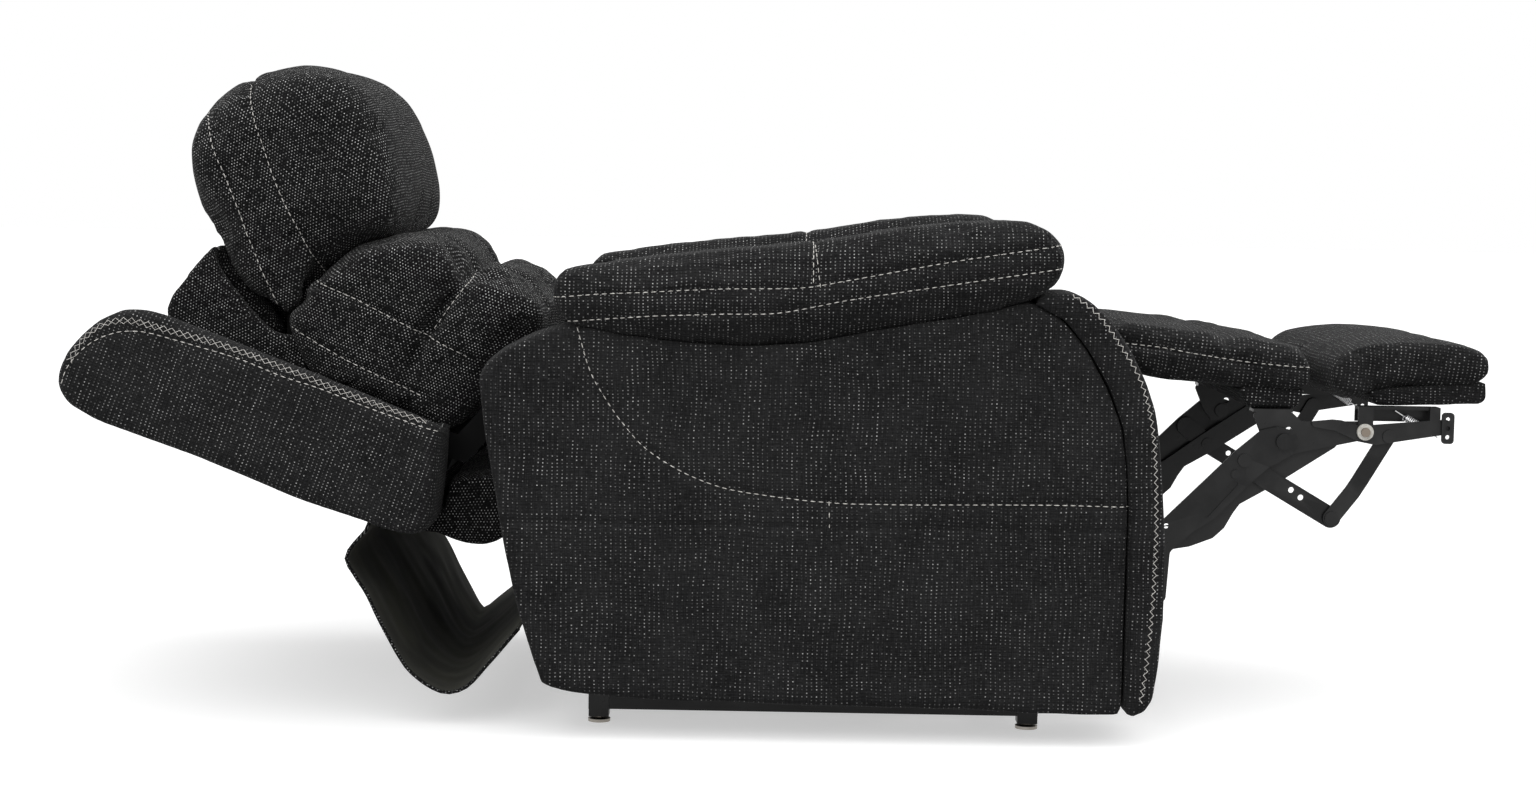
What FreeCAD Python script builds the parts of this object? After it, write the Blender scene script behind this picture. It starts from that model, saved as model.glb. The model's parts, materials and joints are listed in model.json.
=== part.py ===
import FreeCAD, Part
import Sketcher
import math
import os

# Powered lift recliner chair, laid back with its footrest out.
# +X points to the feet, +Y to the sitter's left, +Z up, floor at zero; millimetres.
# Turning about +Y: plus folds the footrest down, raises the back and tips the chair.

os.makedirs("parts", exist_ok=True)
doc = FreeCAD.newDocument("lift_recliner")
vec = FreeCAD.Vector
sheet = doc.addObject("Spreadsheet::Sheet", "sizes")
names = []


def size(alias, value):
    """One driving dimension: a row of the sheet with its name."""
    row = len(names) + 1
    sheet.set("A%d" % row, alias)
    sheet.set("B%d" % row, str(value))
    sheet.setAlias("B%d" % row, alias)
    names.append(alias)
    return float(value)


# Widths, measured out from the middle plane.
panelInner = size("panelInner", 265)
panelOuter = size("panelOuter", 415)
padOuter = size("padOuter", 430)
padInner = size("padInner", 262)
seatHalf = size("seatHalf", 256)
seatLowHalf = size("seatLowHalf", 230)
backHalf = size("backHalf", 258)
wingInner = size("wingInner", 268)
wingOuter = size("wingOuter", 400)
headHalf = size("headHalf", 245)
footHalf = size("footHalf", 250)
boardHalf = size("boardHalf", 235)
flapHalf = size("flapHalf", 345)

# Layers of the footrest linkage, from the outside in, each named by its outer face.
mechPlate = size("mechPlate", 5)
linkPlate = size("linkPlate", 4)
driveLinkPlate = size("driveLinkPlate", 6)
mainLayer = size("mainLayer", 252)
bracketLayer = size("bracketLayer", 246)
rearLayer = size("rearLayer", 240)
driveLayer = size("driveLayer", 232)
backArmLayer = size("backArmLayer", 258)

# Layers of the lift, by outer face.
liftPlate = size("liftPlate", 6)
liftLinkPlate = size("liftLinkPlate", 8)
hangerLayer = size("hangerLayer", 225)
rearLiftLayer = size("rearLiftLayer", 216)
frontLiftLayer = size("frontLiftLayer", 206)
baseInnerLayer = size("baseInnerLayer", 196)

# Radii of pivots. Each bore is wider than its pin by the running clearance.
runFit = size("runFit", 0.05)
linkPin = size("linkPin", 5)
mainPin = size("mainPin", 6)
liftPin = size("liftPin", 8)
tubeStub = size("tubeStub", 10)
backPin = size("backPin", 9)
rodRadius = size("rodRadius", 9)
motorTube = size("motorTube", 19)

# Square tube of the base and of the chair frame.
baseTube = size("baseTube", 22)
baseLow = size("baseLow", 18)
frameTube = size("frameTube", 20)
frameLow = size("frameLow", 388)

# Pivots of the footrest, with the footrest out.
drivePivot = (size("drivePivotX", 373), size("drivePivotZ", 377.5))
mainLow = (size("mainLowX", 502), size("mainLowZ", 174))
mainTop = (size("mainTopX", 677), size("mainTopZ", 388))
swingTop = (size("swingTopX", 624.5), size("swingTopZ", 362))
rearTop = (size("rearTopX", 739.5), size("rearTopZ", 393.5))
rearMid = (size("rearMidX", 656.5), size("rearMidZ", 336.5))
swingLow = (size("swingLowX", 744), size("swingLowZ", 285.5))
railPivot = (size("railPivotX", 785), size("railPivotZ", 403))
pushTop = (size("pushTopX", 818), size("pushTopZ", 397.5))

# Pivots of the lift, lowered.
liftFront = (size("liftFrontX", 180), size("liftFrontZ", 105))
liftRear = (size("liftRearX", 224), size("liftRearZ", 76))
hangFront = (size("hangFrontX", -218), size("hangFrontZ", 140))
hangRear = (size("hangRearX", -67), size("hangRearZ", 84))

# Back, headrest and their actuator.
backPivot = (size("backPivotX", -322), size("backPivotZ", 478))
headPivot = (size("headPivotX", -660), size("headPivotZ", 528))
backLean = math.radians(size("backLean", 20.6))
liftMotorPin = (size("liftMotorX", -228), size("liftMotorZ", 70))
backMotorPin = (size("backMotorX", 65), size("backMotorZ", 352))
liftCrank = size("liftCrank", 90)
liftCrankTurn = math.radians(size("liftCrankTurn", 140.5))
backCrank = size("backCrank", 135)
backCrankTurn = math.radians(size("backCrankTurn", -62.5))
backLane = size("backLane", 110)
doc.recompute()

sides = (("right", -1), ("left", 1))
nodes = []


def label(obj, name):
    obj.Label = name
    nodes.append(obj)
    return obj


def polar(centre, radius, turn):
    return (centre[0] + radius * math.cos(turn), centre[1] + radius * math.sin(turn))


def unit(a, b):
    length = math.hypot(b[0] - a[0], b[1] - a[1])
    return ((b[0] - a[0]) / length, (b[1] - a[1]) / length)


# Outlines. A corner list becomes lines with a round at every corner.

def rounded(corners, radius):
    """Lines and arcs of a closed outline whose corners have one radius, where it fits."""
    count = len(corners)
    cuts = []
    for i in range(count):
        before, here, after = corners[i - 1], corners[i], corners[(i + 1) % count]
        back, ahead = unit(here, before), unit(here, after)
        cosine = max(-1.0, min(1.0, back[0] * ahead[0] + back[1] * ahead[1]))
        half = math.acos(cosine) / 2.0
        room = 0.45 * min(math.dist(here, before), math.dist(here, after))
        if half > math.radians(88.5):
            cuts.append((here, here, here))
            continue
        cut = min(radius / math.tan(half), room)
        bend = cut * math.tan(half)
        start = (here[0] + back[0] * cut, here[1] + back[1] * cut)
        end = (here[0] + ahead[0] * cut, here[1] + ahead[1] * cut)
        inward = unit((0, 0), (back[0] + ahead[0], back[1] + ahead[1]))
        reach = bend / math.sin(half)
        centre = (here[0] + inward[0] * reach, here[1] + inward[1] * reach)
        middle = (centre[0] - inward[0] * bend, centre[1] - inward[1] * bend)
        cuts.append((start, middle, end))
    pieces = []
    for i in range(count):
        start, middle, end = cuts[i]
        if math.dist(start, end) > 0.01:
            pieces.append(("arc", start, middle, end))
        following = cuts[(i + 1) % count][0]
        if math.dist(end, following) > 0.01:
            pieces.append(("line", end, following))
    return pieces


def strap(path, halfWidth):
    """Outline of a flat link round a chain of pivots, with full rounds at its ends."""
    def shifted(side):
        chain = []
        for i in range(len(path)):
            if i == 0:
                d = unit(path[0], path[1])
                turn, stretch = (-d[1], d[0]), 1.0
            elif i == len(path) - 1:
                d = unit(path[-2], path[-1])
                turn, stretch = (-d[1], d[0]), 1.0
            else:
                d, e = unit(path[i - 1], path[i]), unit(path[i], path[i + 1])
                turn = unit((0, 0), (-d[1] - e[1], d[0] + e[0]))
                stretch = 1.0 / max(0.5, turn[0] * -d[1] + turn[1] * d[0])
            reach = side * halfWidth * stretch
            chain.append((path[i][0] + turn[0] * reach, path[i][1] + turn[1] * reach))
        return chain
    above, below = shifted(1), shifted(-1)
    first, last = unit(path[1], path[0]), unit(path[-2], path[-1])
    noseA = (path[0][0] + first[0] * halfWidth, path[0][1] + first[1] * halfWidth)
    noseB = (path[-1][0] + last[0] * halfWidth, path[-1][1] + last[1] * halfWidth)
    pieces = [("arc", below[0], noseA, above[0])]
    for a, b in zip(above, above[1:]):
        pieces.append(("line", a, b))
    pieces.append(("arc", above[-1], noseB, below[-1]))
    turned = below[::-1]
    for a, b in zip(turned, turned[1:]):
        pieces.append(("line", a, b))
    return pieces


# Sketches and pads.

def planeOf(body, role):
    for plane in body.Origin.OriginFeatures:
        if plane.Role == role:
            return plane


def sketchOn(body, role, depth, pieces, holes=()):
    """A sketch on one of the body's own origin planes, moved by depth along its normal."""
    sketch = body.newObject("Sketcher::SketchObject", "outline")
    sketch.AttachmentSupport = [(planeOf(body, role), "")]
    sketch.MapMode = "FlatFace"
    sketch.AttachmentOffset = FreeCAD.Placement(vec(0, 0, depth), FreeCAD.Rotation())
    for piece in pieces:
        ends = [vec(p[0], p[1], 0) for p in piece[1:]]
        if piece[0] == "line":
            sketch.addGeometry(Part.LineSegment(ends[0], ends[1]))
        else:
            sketch.addGeometry(Part.Arc(ends[0], ends[1], ends[2]))
    for centre, radius in holes:
        ring = Part.Circle(vec(centre[0], centre[1], 0), vec(0, 0, 1), 4.0)
        index = sketch.addGeometry(ring)
        rule = sketch.addConstraint(Sketcher.Constraint("Radius", index, 4.0))
        if isinstance(radius, str):
            sketch.setExpression("Constraints[%d]" % rule, radius)
        else:
            sketch.setDatum(rule, FreeCAD.Units.Quantity(radius, FreeCAD.Units.Length))
    return sketch


def pad(body, sketch, length):
    feature = body.newObject("PartDesign::Pad", "pad")
    feature.Profile = sketch
    if isinstance(length, str):
        feature.setExpression("Length", length)
    else:
        feature.Length = length
    sketch.Visibility = False
    return feature


def sidePad(body, pieces, outer, side, thick, holes=()):
    """Pad along Y: a plate whose outer face lies at outer, on one side of the chair."""
    depth = -outer if side > 0 else outer - value(thick)
    return pad(body, sketchOn(body, "XZ_Plane", depth, pieces, holes), thick)


def value(thick):
    if not isinstance(thick, str):
        return thick
    total = 0.0
    for part in thick.split("+"):
        total += float(sheet.get(part.strip().replace("sizes.", "")))
    return total


def newBody(name, finished=True):
    body = doc.addObject("PartDesign::Body", name)
    return label(body, name) if finished else body


def box(low, high):
    """A plain block between two corners, as a primitive."""
    block = doc.addObject("Part::Box", "block")
    block.Length, block.Width, block.Height = [high[i] - low[i] for i in range(3)]
    block.Placement.Base = vec(*low)
    return block


def pinAlongY(centre, yLow, yHigh, radius):
    """A round pin along Y between two planes; its radius may follow a cell."""
    pin = doc.addObject("Part::Cylinder", "pin")
    if isinstance(radius, str):
        pin.setExpression("Radius", radius)
    else:
        pin.Radius = radius
    pin.Height = abs(yHigh - yLow)
    low = min(yLow, yHigh)
    pin.Placement = FreeCAD.Placement(vec(centre[0], low, centre[1]), FreeCAD.Rotation(vec(1, 0, 0), -90))
    return pin


def fuse(name, parts):
    joined = doc.addObject("Part::MultiFuse", name)
    joined.Shapes = parts
    joined.Refine = True
    return label(joined, name)


def cut(base, tools):
    """Cut a list of tools from a base and keep the result as a plain object."""
    tool = tools[0]
    if len(tools) > 1:
        tool = doc.addObject("Part::MultiFuse", "tools")
        tool.Shapes = tools
    result = doc.addObject("Part::Cut", "cut")
    result.Base = base
    result.Tool = tool
    return result


def feature(name, shape):
    obj = doc.addObject("Part::Feature", name)
    obj.Shape = shape
    return label(obj, name)


def link(name, pieces, outer, thick, side, holes=(), more=()):
    """A flat link in its layer, with the pins and heads riveted into it."""
    body = newBody(name + "_plate" if more else name, not more)
    sidePad(body, pieces, outer, side, thick, holes)
    if more:
        fuse(name, [body] + [pinAlongY(at, side * a, side * b, r) for at, a, b, r in more])
    return body


def pillow(corners, halfWidth, depth, centre=0.0, shape=(0, 0.45, 0.75, 0.92, 1.0)):
    """A stuffed piece: one side outline lofted across the width, drawn in towards both sides."""
    midX = sum(p[0] for p in corners) / len(corners)
    midZ = sum(p[1] for p in corners) / len(corners)
    wires = []
    for f in [-k for k in shape[:0:-1]] + list(shape):
        inset = depth * (1.0 - math.sqrt(1.0 - 0.999 * abs(f) ** 4))
        ring = []
        for x, z in corners:
            scale = 1.0 - inset / math.dist((x, z), (midX, midZ))
            ring.append(vec(midX + (x - midX) * scale, centre + f * halfWidth, midZ + (z - midZ) * scale))
        wires.append(Part.makePolygon(ring + [ring[0]]))
    return Part.makeLoft(wires, True, True)


# Floor base: a welded frame of square tube with brackets for the lift.

railOuter = 302
frontEnd, rearEnd = 350, -251
baseTop = baseLow + baseTube
baseParts = []
for name, s in sides:
    low, high = sorted((s * railOuter, s * (railOuter - baseTube)))
    baseParts.append(box((rearEnd, low, baseLow), (frontEnd, high, baseTop)))
    # A square post under each end of the rail holds the glide's thread.
    low, high = sorted((s * (railOuter - 24.5), s * (railOuter + 2.5)))
    for x in (-250.5, 322.5):
        baseParts.append(box((x, low, 8), (x + 27, high, baseTop)))
for x in (rearEnd, -140, 165, frontEnd - baseTube):
    reach = railOuter - baseTube
    baseParts.append(box((x, -reach, baseLow), (x + baseTube, reach, baseTop)))
innerBracket = [(150, baseTop), (216, baseTop), (204, 116), (196, 124), (164, 124), (156, 116)]
outerBracket = [(200, baseTop), (252, baseTop), (242, 86), (234, 95), (214, 95), (206, 86)]
clevis = [(-251, baseTop), (-205, baseTop), (-212, 84), (-244, 84)]
for name, s in sides:
    low, high = sorted((s * 186, s * 236))
    baseParts.append(box((150, low, baseTop - 6), (254, high, baseTop)))
    innerHole = "sizes.tubeStub + sizes.runFit"
    for corners, centre, outer, hole in ((innerBracket, liftFront, baseInnerLayer, innerHole),
                                         (outerBracket, liftRear, hangerLayer, "sizes.liftPin")):
        bracket = newBody("bracket_" + name, False)
        sidePad(bracket, rounded(corners, 8), outer, s, "sizes.liftPlate", [(centre, hole)])
        baseParts.append(bracket)
    ear = newBody("ear_" + name, False)
    sidePad(ear, rounded(clevis, 6), 27, s, 5, [(liftMotorPin, "sizes.mainPin")])
    baseParts.append(ear)
fuse("base_frame", baseParts)

glides = []
for x in (-237, 336):
    for name, s in sides:
        foot = Part.makeCylinder(15, 4, vec(x, s * 291, 0)).fuse(Part.makeCone(15, 9, 2, vec(x, s * 291, 4)))
        stem = Part.makeCylinder(6, 2, vec(x, s * 291, 6))
        glides.append(foot.fuse(stem).removeSplitter())
feature("levelling_glides", Part.makeCompound(glides))

bolts = []
for name, s in sides:
    bolts.append(pinAlongY(liftRear, s * 207, s * 225, "sizes.liftPin"))
    bolts.append(pinAlongY(liftRear, s * 225, s * 231, 13))
    bolts.append(pinAlongY(liftRear, s * 206.6, s * 207.8, 12))
bolts.append(pinAlongY(liftMotorPin, -27, 27, "sizes.mainPin"))
bolts.append(pinAlongY(liftMotorPin, 27, 32, 10))
bolts.append(pinAlongY(liftMotorPin, -32, -27, 10))
fuse("base_pivot_bolts", bolts)

# The supply box stands on the second cross tube, with a round inlet in its end.
control = newBody("control_box")
floorPlan = rounded([(-205, -185), (-45, -185), (-45, -95), (-205, -95)], 8)
pad(control, sketchOn(control, "XY_Plane", baseTop, floorPlan), 38)
doc.recompute()
inlet = control.newObject("PartDesign::Pocket", "inlet")
inlet.Profile = sketchOn(control, "YZ_Plane", -205, [], [((-140, baseTop + 19), 9)])
inlet.Length = 16
inlet.Reversed = True

# Lift: two long links on a torsion tube, two short links behind them.
crankEye = polar(liftFront, liftCrank, liftCrankTurn)
for name, s in sides:
    holes = [(liftFront, "sizes.tubeStub"), (hangFront, "sizes.liftPin + sizes.runFit")]
    link(name + "_front_lift_link", strap([liftFront, hangFront], 21), frontLiftLayer,
         "sizes.liftLinkPlate", s, holes)
    holes = [(liftRear, "sizes.liftPin + sizes.runFit"), (hangRear, "sizes.liftPin + 0.5")]
    link(name + "_rear_lift_link", strap([liftRear, hangRear], 16), rearLiftLayer,
         "sizes.liftLinkPlate", s, holes)

tubeParts = [pinAlongY(liftFront, -189, 189, 16)]
for name, s in sides:
    tubeParts.append(pinAlongY(liftFront, s * 189, s * 206, "sizes.tubeStub"))
    cheek = newBody("cheek_" + name, False)
    sidePad(cheek, strap([liftFront, crankEye], 19), 17, s, "sizes.liftPlate")
    tubeParts.append(cheek)
    tubeParts.append(pinAlongY(crankEye, s * 17, s * 22, 10))
fuse("lift_cross_tube", tubeParts)


def actuator(prefix, pin, eye, lane, tubeEnd, canSide):
    """A linear drive between two pins: gear housing, motor can and tube, and the rod inside."""
    run = math.dist(pin, eye)
    turn = math.degrees(math.atan2(eye[1] - pin[1], eye[0] - pin[0]))
    place = FreeCAD.Placement(vec(pin[0], lane, pin[1]), FreeCAD.Rotation(vec(0, 1, 0), -turn))
    lug = Part.makeCylinder(14, 42, vec(0, -21, 0), vec(0, 1, 0))
    neck = Part.makeBox(30, 30, 28, vec(0, -15, -14))
    gears = Part.makeBox(52, 60, 56, vec(22, -30, -28))
    gears = gears.makeFillet(7, [e for e in gears.Edges if abs(e.tangentAt(e.FirstParameter).y) > 0.9])
    can = Part.makeCylinder(25, 92, vec(48, canSide * 30, 0), vec(0, canSide, 0))
    can = can.makeFillet(4, [e for e in can.Edges if abs(e.CenterOfMass.y) > 100])
    outer = Part.makeCylinder(motorTube, tubeEnd - 70, vec(70, 0, 0), vec(1, 0, 0))
    collar = Part.makeCylinder(motorTube + 3, 14, vec(tubeEnd - 14, 0, 0), vec(1, 0, 0))
    shell = lug.fuse([neck, gears, can, outer, collar])
    bore = Part.makeCylinder(rodRadius + runFit, tubeEnd, vec(78, 0, 0), vec(1, 0, 0))
    hole = Part.makeCylinder(mainPin + runFit, 60, vec(0, -30, 0), vec(0, 1, 0))
    shell = shell.cut(bore.fuse(hole)).removeSplitter()
    rod = Part.makeCylinder(rodRadius, run - 90 - 14, vec(90, 0, 0), vec(1, 0, 0))
    head = Part.makeCylinder(13, 20, vec(run, -10, 0), vec(0, 1, 0))
    head = head.fuse(Part.makeBox(26, 18, 18, vec(run - 34, -9, -9)))
    head = head.cut(Part.makeCylinder(7, 40, vec(run, -20, 0), vec(0, 1, 0)))
    rod = rod.fuse(head).removeSplitter()
    for suffix, shape in (("_motor", shell), ("_rod", rod)):
        made = feature(prefix + suffix, shape)
        made.Placement = place
    print(prefix, "actuator between pins", round(run, 1), "at", round(turn, 2), "degrees")


actuator("lift", liftMotorPin, crankEye, 0.0, 290, 1)
backEye = polar(backPivot, backCrank, backCrankTurn)
actuator("recline", backMotorPin, backEye, backLane, 282, -1)

# Chair frame: two long tubes, cross tubes, hangers for the lift, brackets for the footrest.
frameTop = frameLow + frameTube
frameRear, frameFront = -235, 412
frameParts = []
for name, s in sides:
    low, high = sorted((s * 219, s * 195))
    frameParts.append(box((frameRear, low, frameLow), (frameFront, high, frameTop)))
crossTubes = ((frameRear, 260), (50, 260), (frameFront - frameTube, 196))
for x, reach in crossTubes:
    frameParts.append(box((x, -reach, frameLow), (x + frameTube, reach, frameTop)))
hanger = [(-235, frameTop), (-235, 160), (-240, 140), (-226, 122), (-206, 122), (-160, 215), (-100, 150),
          (-88, 80), (-76, 66), (-58, 66), (-46, 80), (-40, frameTop)]
legBracket = [(335, frameTop), (412, frameTop), (402, 372), (386, 357), (360, 357), (344, 372)]
for name, s in sides:
    plate = newBody("hanger_" + name, False)
    holes = [(hangFront, "sizes.liftPin"), (hangRear, "sizes.liftPin")]
    sidePad(plate, rounded(hanger, 10), hangerLayer, s, "sizes.liftPlate", holes)
    frameParts.append(plate)
    plate = newBody("leg_bracket_" + name, False)
    holes = [(drivePivot, "sizes.tubeStub + sizes.runFit")]
    sidePad(plate, rounded(legBracket, 8), 224, s, 5, holes)
    frameParts.append(plate)
motorEar = [(46, frameTop), (84, frameTop), (80, 344), (72, 338), (58, 338), (50, 344)]
for s in (-1, 1):
    ear = newBody("motor_ear", False)
    outerFace = backLane + s * 24.5 + 2.5
    outline = sketchOn(ear, "XZ_Plane", -outerFace, rounded(motorEar, 5), [(backMotorPin, "sizes.mainPin")])
    pad(ear, outline, 5)
    frameParts.append(ear)
mechOutline = [(-344, 470), (-341, 494), (-322, 502), (-303, 494), (-298, 468), (-272, 424), (92, 414),
               (100, 384), (60, 378), (-300, 378), (-336, 402)]
for name, s in sides:
    plate = newBody("mechanism_plate_" + name, False)
    holes = [(backPivot, "sizes.backPin + sizes.runFit")]
    sidePad(plate, rounded(mechOutline, 9), panelInner, s, "sizes.mechPlate", holes)
    frameParts.append(plate)
fuse("upper_frame", frameParts)

bolts = []
for name, s in sides:
    bolts.append(pinAlongY(hangFront, s * 197, s * 225, "sizes.liftPin"))
    bolts.append(pinAlongY(hangFront, s * 225, s * 231, 13))
    bolts.append(pinAlongY(hangFront, s * 192, s * 197.6, 13))
    bolts.append(pinAlongY(hangRear, s * 207, s * 225, "sizes.liftPin"))
    bolts.append(pinAlongY(hangRear, s * 225, s * 231, 13))
bolts.append(pinAlongY(backMotorPin, backLane - 27, backLane + 27, "sizes.mainPin"))
for s in (-1, 1):
    bolts.append(pinAlongY(backMotorPin, backLane + s * 27, backLane + s * 32, 10))
fuse("upper_frame_bolts", bolts)

# A worm gear motor turns the footrest's drive tube, which runs through its housing.
housing = Part.makeBox(78, 84, 56, vec(334, -42, 349.5))
housing = housing.makeFillet(9, [e for e in housing.Edges if abs(e.tangentAt(e.FirstParameter).y) > 0.9])
barrel = Part.makeCylinder(22, 116, vec(334, 0, 364), vec(-1, 0, 0))
barrel = barrel.makeFillet(6, [e for e in barrel.Edges if e.CenterOfMass.x < 230])
housing = housing.fuse(barrel)
bore = Part.makeCylinder(13 + runFit, 120, vec(drivePivot[0], -60, drivePivot[1]), vec(0, 1, 0))
frontTube = Part.makeBox(frameTube, 400, frameTube, vec(frameFront - frameTube, -200, frameLow))
feature("legrest_motor", housing.cut(bore.fuse(frontTube)).removeSplitter())

# Seat: wooden tray rails on the frame, webbing, and a cushion that is narrower below.
deckTop = frameTop + 13
deck = []
for name, s in sides:
    low, high = sorted((s * 232, s * 184))
    deck.append(box((frameRear, low, frameTop), (frameFront + 6, high, deckTop)))
for x in (frameRear, frameFront - 54):
    deck.append(box((x, -184, frameTop), (x + 60, 184, deckTop)))
fuse("seat_deck", deck)

strapWide, strapStep, strapFirst = 50, 88, -160
straps = []
for i in range(6):
    corner = vec(strapFirst + i * strapStep, -225, deckTop)
    straps.append(Part.makeBox(strapWide, 450, 3, corner))
feature("seat_webbing", Part.makeCompound(straps))

seatLow = deckTop + 3.5
seatOutline = [(-232, seatLow), (-262, 470), (-290, 488), (-276, 500), (-230, 513), (-150, 524), (0, 531),
               (150, 536), (300, 538), (380, 533), (412, 518), (428, 490), (430, 455), (424, seatLow)]


upper = [(-284, 480)] + [p for p in seatOutline if p[1] > 480] + [(429, 480)]
lower = [(-232, seatLow), (-262, 470), (-270, 480), (429, 480), (430, 455), (424, seatLow)]
seatTopPart = pillow(upper, seatHalf, 14)
seatLowPart = pillow(lower, seatLowHalf, 4)
feature("seat_cushion", seatTopPart.fuse(seatLowPart))

# Arms: a boxed side, an upholstered front band and a stuffed pad on top.
padLower = [(-262, 538), (-208, 529), (-131, 520), (-55, 516), (22, 520), (149, 543), (275, 567), (322, 579)]
frontSeam = [(360, 556), (393, 517), (422, 466), (441, 415), (448, 350), (450, 299), (451, 195), (450, 42)]
sideOutline = [(367, 41), (289, 43), (30, 45), (-216, 52), (-261, 57), (-306, 66), (-320, 103), (-340, 168),
               (-360, 258), (-373, 336), (-387, 413), (-393, 469), (-385, 485), (-362, 504), (-324, 523), (-286, 536)]
sideOutline += [(x, z - 0.5) for x, z in padLower[:-1]] + [(317, 577)] + frontSeam
frontOutline = [(318, 577.5), (331, 585), (352, 590), (372, 590), (394, 580), (420, 555), (446, 519), (467, 480),
                (482, 440), (490, 389), (496, 324), (499, 246), (498, 168), (493, 103), (488, 63), (478, 46), (464, 38)]
frontOutline += [(x + 0.4, z) for x, z in frontSeam[::-1]]
armPad = [(-279, 543), (-292, 556), (-297, 571), (-299, 586), (-291, 603), (-279, 606), (-227, 613), (-175, 621),
          (-110, 629), (-32, 637), (46, 645), (107, 656), (150, 664), (214, 672), (270, 676), (319, 676), (341, 667),
          (355, 652), (360, 636), (360, 622), (356, 609), (346, 599), (332, 592), (323, 584)] + padLower[-2::-1]
for name, s in sides:
    panelMid = s * (panelInner + panelOuter) / 2
    panelHalf = (panelOuter - panelInner) / 2
    shape = pillow(sideOutline, panelHalf, 5, panelMid, (0, 0.93, 1.0))
    feature(name + "_side_panel", shape)
    shape = pillow(frontOutline, panelHalf + 1.5, 6, panelMid, (0, 0.8, 0.93, 1.0))
    feature(name + "_arm_front", shape)
    shape = pillow(armPad, (padOuter - padInner) / 2, 16, s * (padOuter + padInner) / 2)
    feature(name + "_arm_pad", shape)

# Back: a wooden tray of two rails, three cross rails and a board, on two steel arms.
along = (-math.cos(backLean), math.sin(backLean))
above = (math.sin(backLean), math.cos(backLean))
backStart = (-440, 350)


def onBack(s, t):
    return (backStart[0] + along[0] * s + above[0] * t, backStart[1] + along[1] * s + above[1] * t)


def backBlock(s0, s1, t0, t1, halfWidth, low=None):
    """A block set along the leaning back, from one width to another."""
    corners = [onBack(s0, t0), onBack(s1, t0), onBack(s1, t1), onBack(s0, t1)]
    yLow = -halfWidth if low is None else low
    ring = [vec(x, yLow, z) for x, z in corners]
    return Part.Face(Part.makePolygon(ring + [ring[0]])).extrude(vec(0, halfWidth - yLow, 0))


railLength = 390
tray = backBlock(0, railLength, -20, -11, 228)
for s0 in (0, 180, railLength - 24):
    tray = tray.fuse(backBlock(s0, s0 + 24, -11, 20, 228))
for s in (-1, 1):
    low, high = sorted((s * 228, s * 253.5))
    tray = tray.fuse(backBlock(0, railLength, -20, 20, high, low))
    # Ears that carry the headrest pins.
    low, high = sorted((s * 196, s * 204))
    foot = [onBack(180, 0), onBack(250, 0), (headPivot[0] - 13, headPivot[1] + 5), (headPivot[0], headPivot[1] + 14),
            (headPivot[0] + 13, headPivot[1] + 5)]
    ring = [vec(x, low, z) for x, z in foot]
    ear = Part.Face(Part.makePolygon(ring + [ring[0]])).extrude(vec(0, high - low, 0))
    ear = ear.cut(Part.makeCylinder(mainPin + runFit, 40, vec(headPivot[0], low - 5, headPivot[1]), vec(0, 1, 0)))
    tray = tray.fuse(ear)
feature("back_frame", tray.removeSplitter())

# Steel arms, the tube between them and the lever that the recline drive pushes.
armRoute = [backPivot, (-428, 360), onBack(120, 0)]
swing = [pinAlongY(backPivot, -254, 254, 12)]
for name, s in sides:
    arm = newBody("back_arm_" + name, False)
    sidePad(arm, strap(armRoute, 17), backArmLayer, s, "sizes.linkPlate")
    swing.append(arm)
    swing.append(pinAlongY(backPivot, s * 254, s * 265, "sizes.backPin"))
leverRoute = [backPivot, (backPivot[0] + 10, backPivot[1] - 50), backEye]
for s in (-1, 1):
    lever = newBody("lever", False)
    outline = sketchOn(lever, "XZ_Plane", -(backLane + s * 14 + 3), strap(leverRoute, 15))
    pad(lever, outline, 6)
    swing.append(lever)
    swing.append(pinAlongY(backEye, backLane + s * 17, backLane + s * 22, 10))
fuse("back_pivot_tube", swing)

shell = [(-452, 329), (-468, 270), (-555, 291), (-749, 362), (-888, 416), (-930, 450), (-915, 486),
         onBack(railLength + 6, -22)]
feature("back_shell", pillow(shell, wingInner - 1, 8, 0, (0, 0.8, 1.0)))
wing = [(-438, 403), (-441, 346), (-449, 280), (-458, 264), (-474, 257), (-495, 260), (-558, 280), (-640, 308),
        (-751, 351), (-893, 403), (-927, 423), (-940, 445), (-939, 466), (-926, 494), (-905, 517), (-884, 534),
        (-852, 549), (-826, 549), (-800, 543), (-620, 476)]
for name, s in sides:
    shape = pillow(wing, (wingOuter - wingInner) / 2, 14, s * (wingOuter + wingInner) / 2)
    feature(name + "_wing", shape)
cover = [(-426, 326), (-446, 324), (-461, 266), (-500, 271), (-503, 256), (-488, 242), (-468, 240), (-448, 229),
         (-417, 222), (-398, 222), (-367, 234), (-364, 258), (-384, 326)]
feature("lower_back_cover", pillow(cover, 250, 10, 0, (0, 0.9, 1.0)))

# The two cushions rest on the tray's rails and meet at one seam.
lumbar = [(-427, 594), (-400, 593), (-371, 586), (-344, 578), (-323, 566), (-312, 547), (-325, 521), (-359, 486),
          (-402, 433), (-432, 395), onBack(20, 20.4), onBack(77, 20.4), (-507.5, 441), (-465, 540)]
middle = [(-428, 595), (-438, 613), (-455, 629), (-476, 638), (-497, 640), (-520, 637), (-553, 632), (-577, 625), (-600, 607),
          (-627, 583), (-636, 560), (-634, 512), onBack(191, 20.4), onBack(79, 20.4), (-508.5, 442), (-466, 541)]
feature("lumbar_cushion", pillow(lumbar, backHalf, 14))
feature("middle_back_cushion", pillow(middle, backHalf, 14))

# Headrest: a board on two pins, with the pillow in front of it.
boardRun = unit((-668, 528), (-775, 677))
boardFace = (-boardRun[1] * -1, boardRun[0] * -1)


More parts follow.
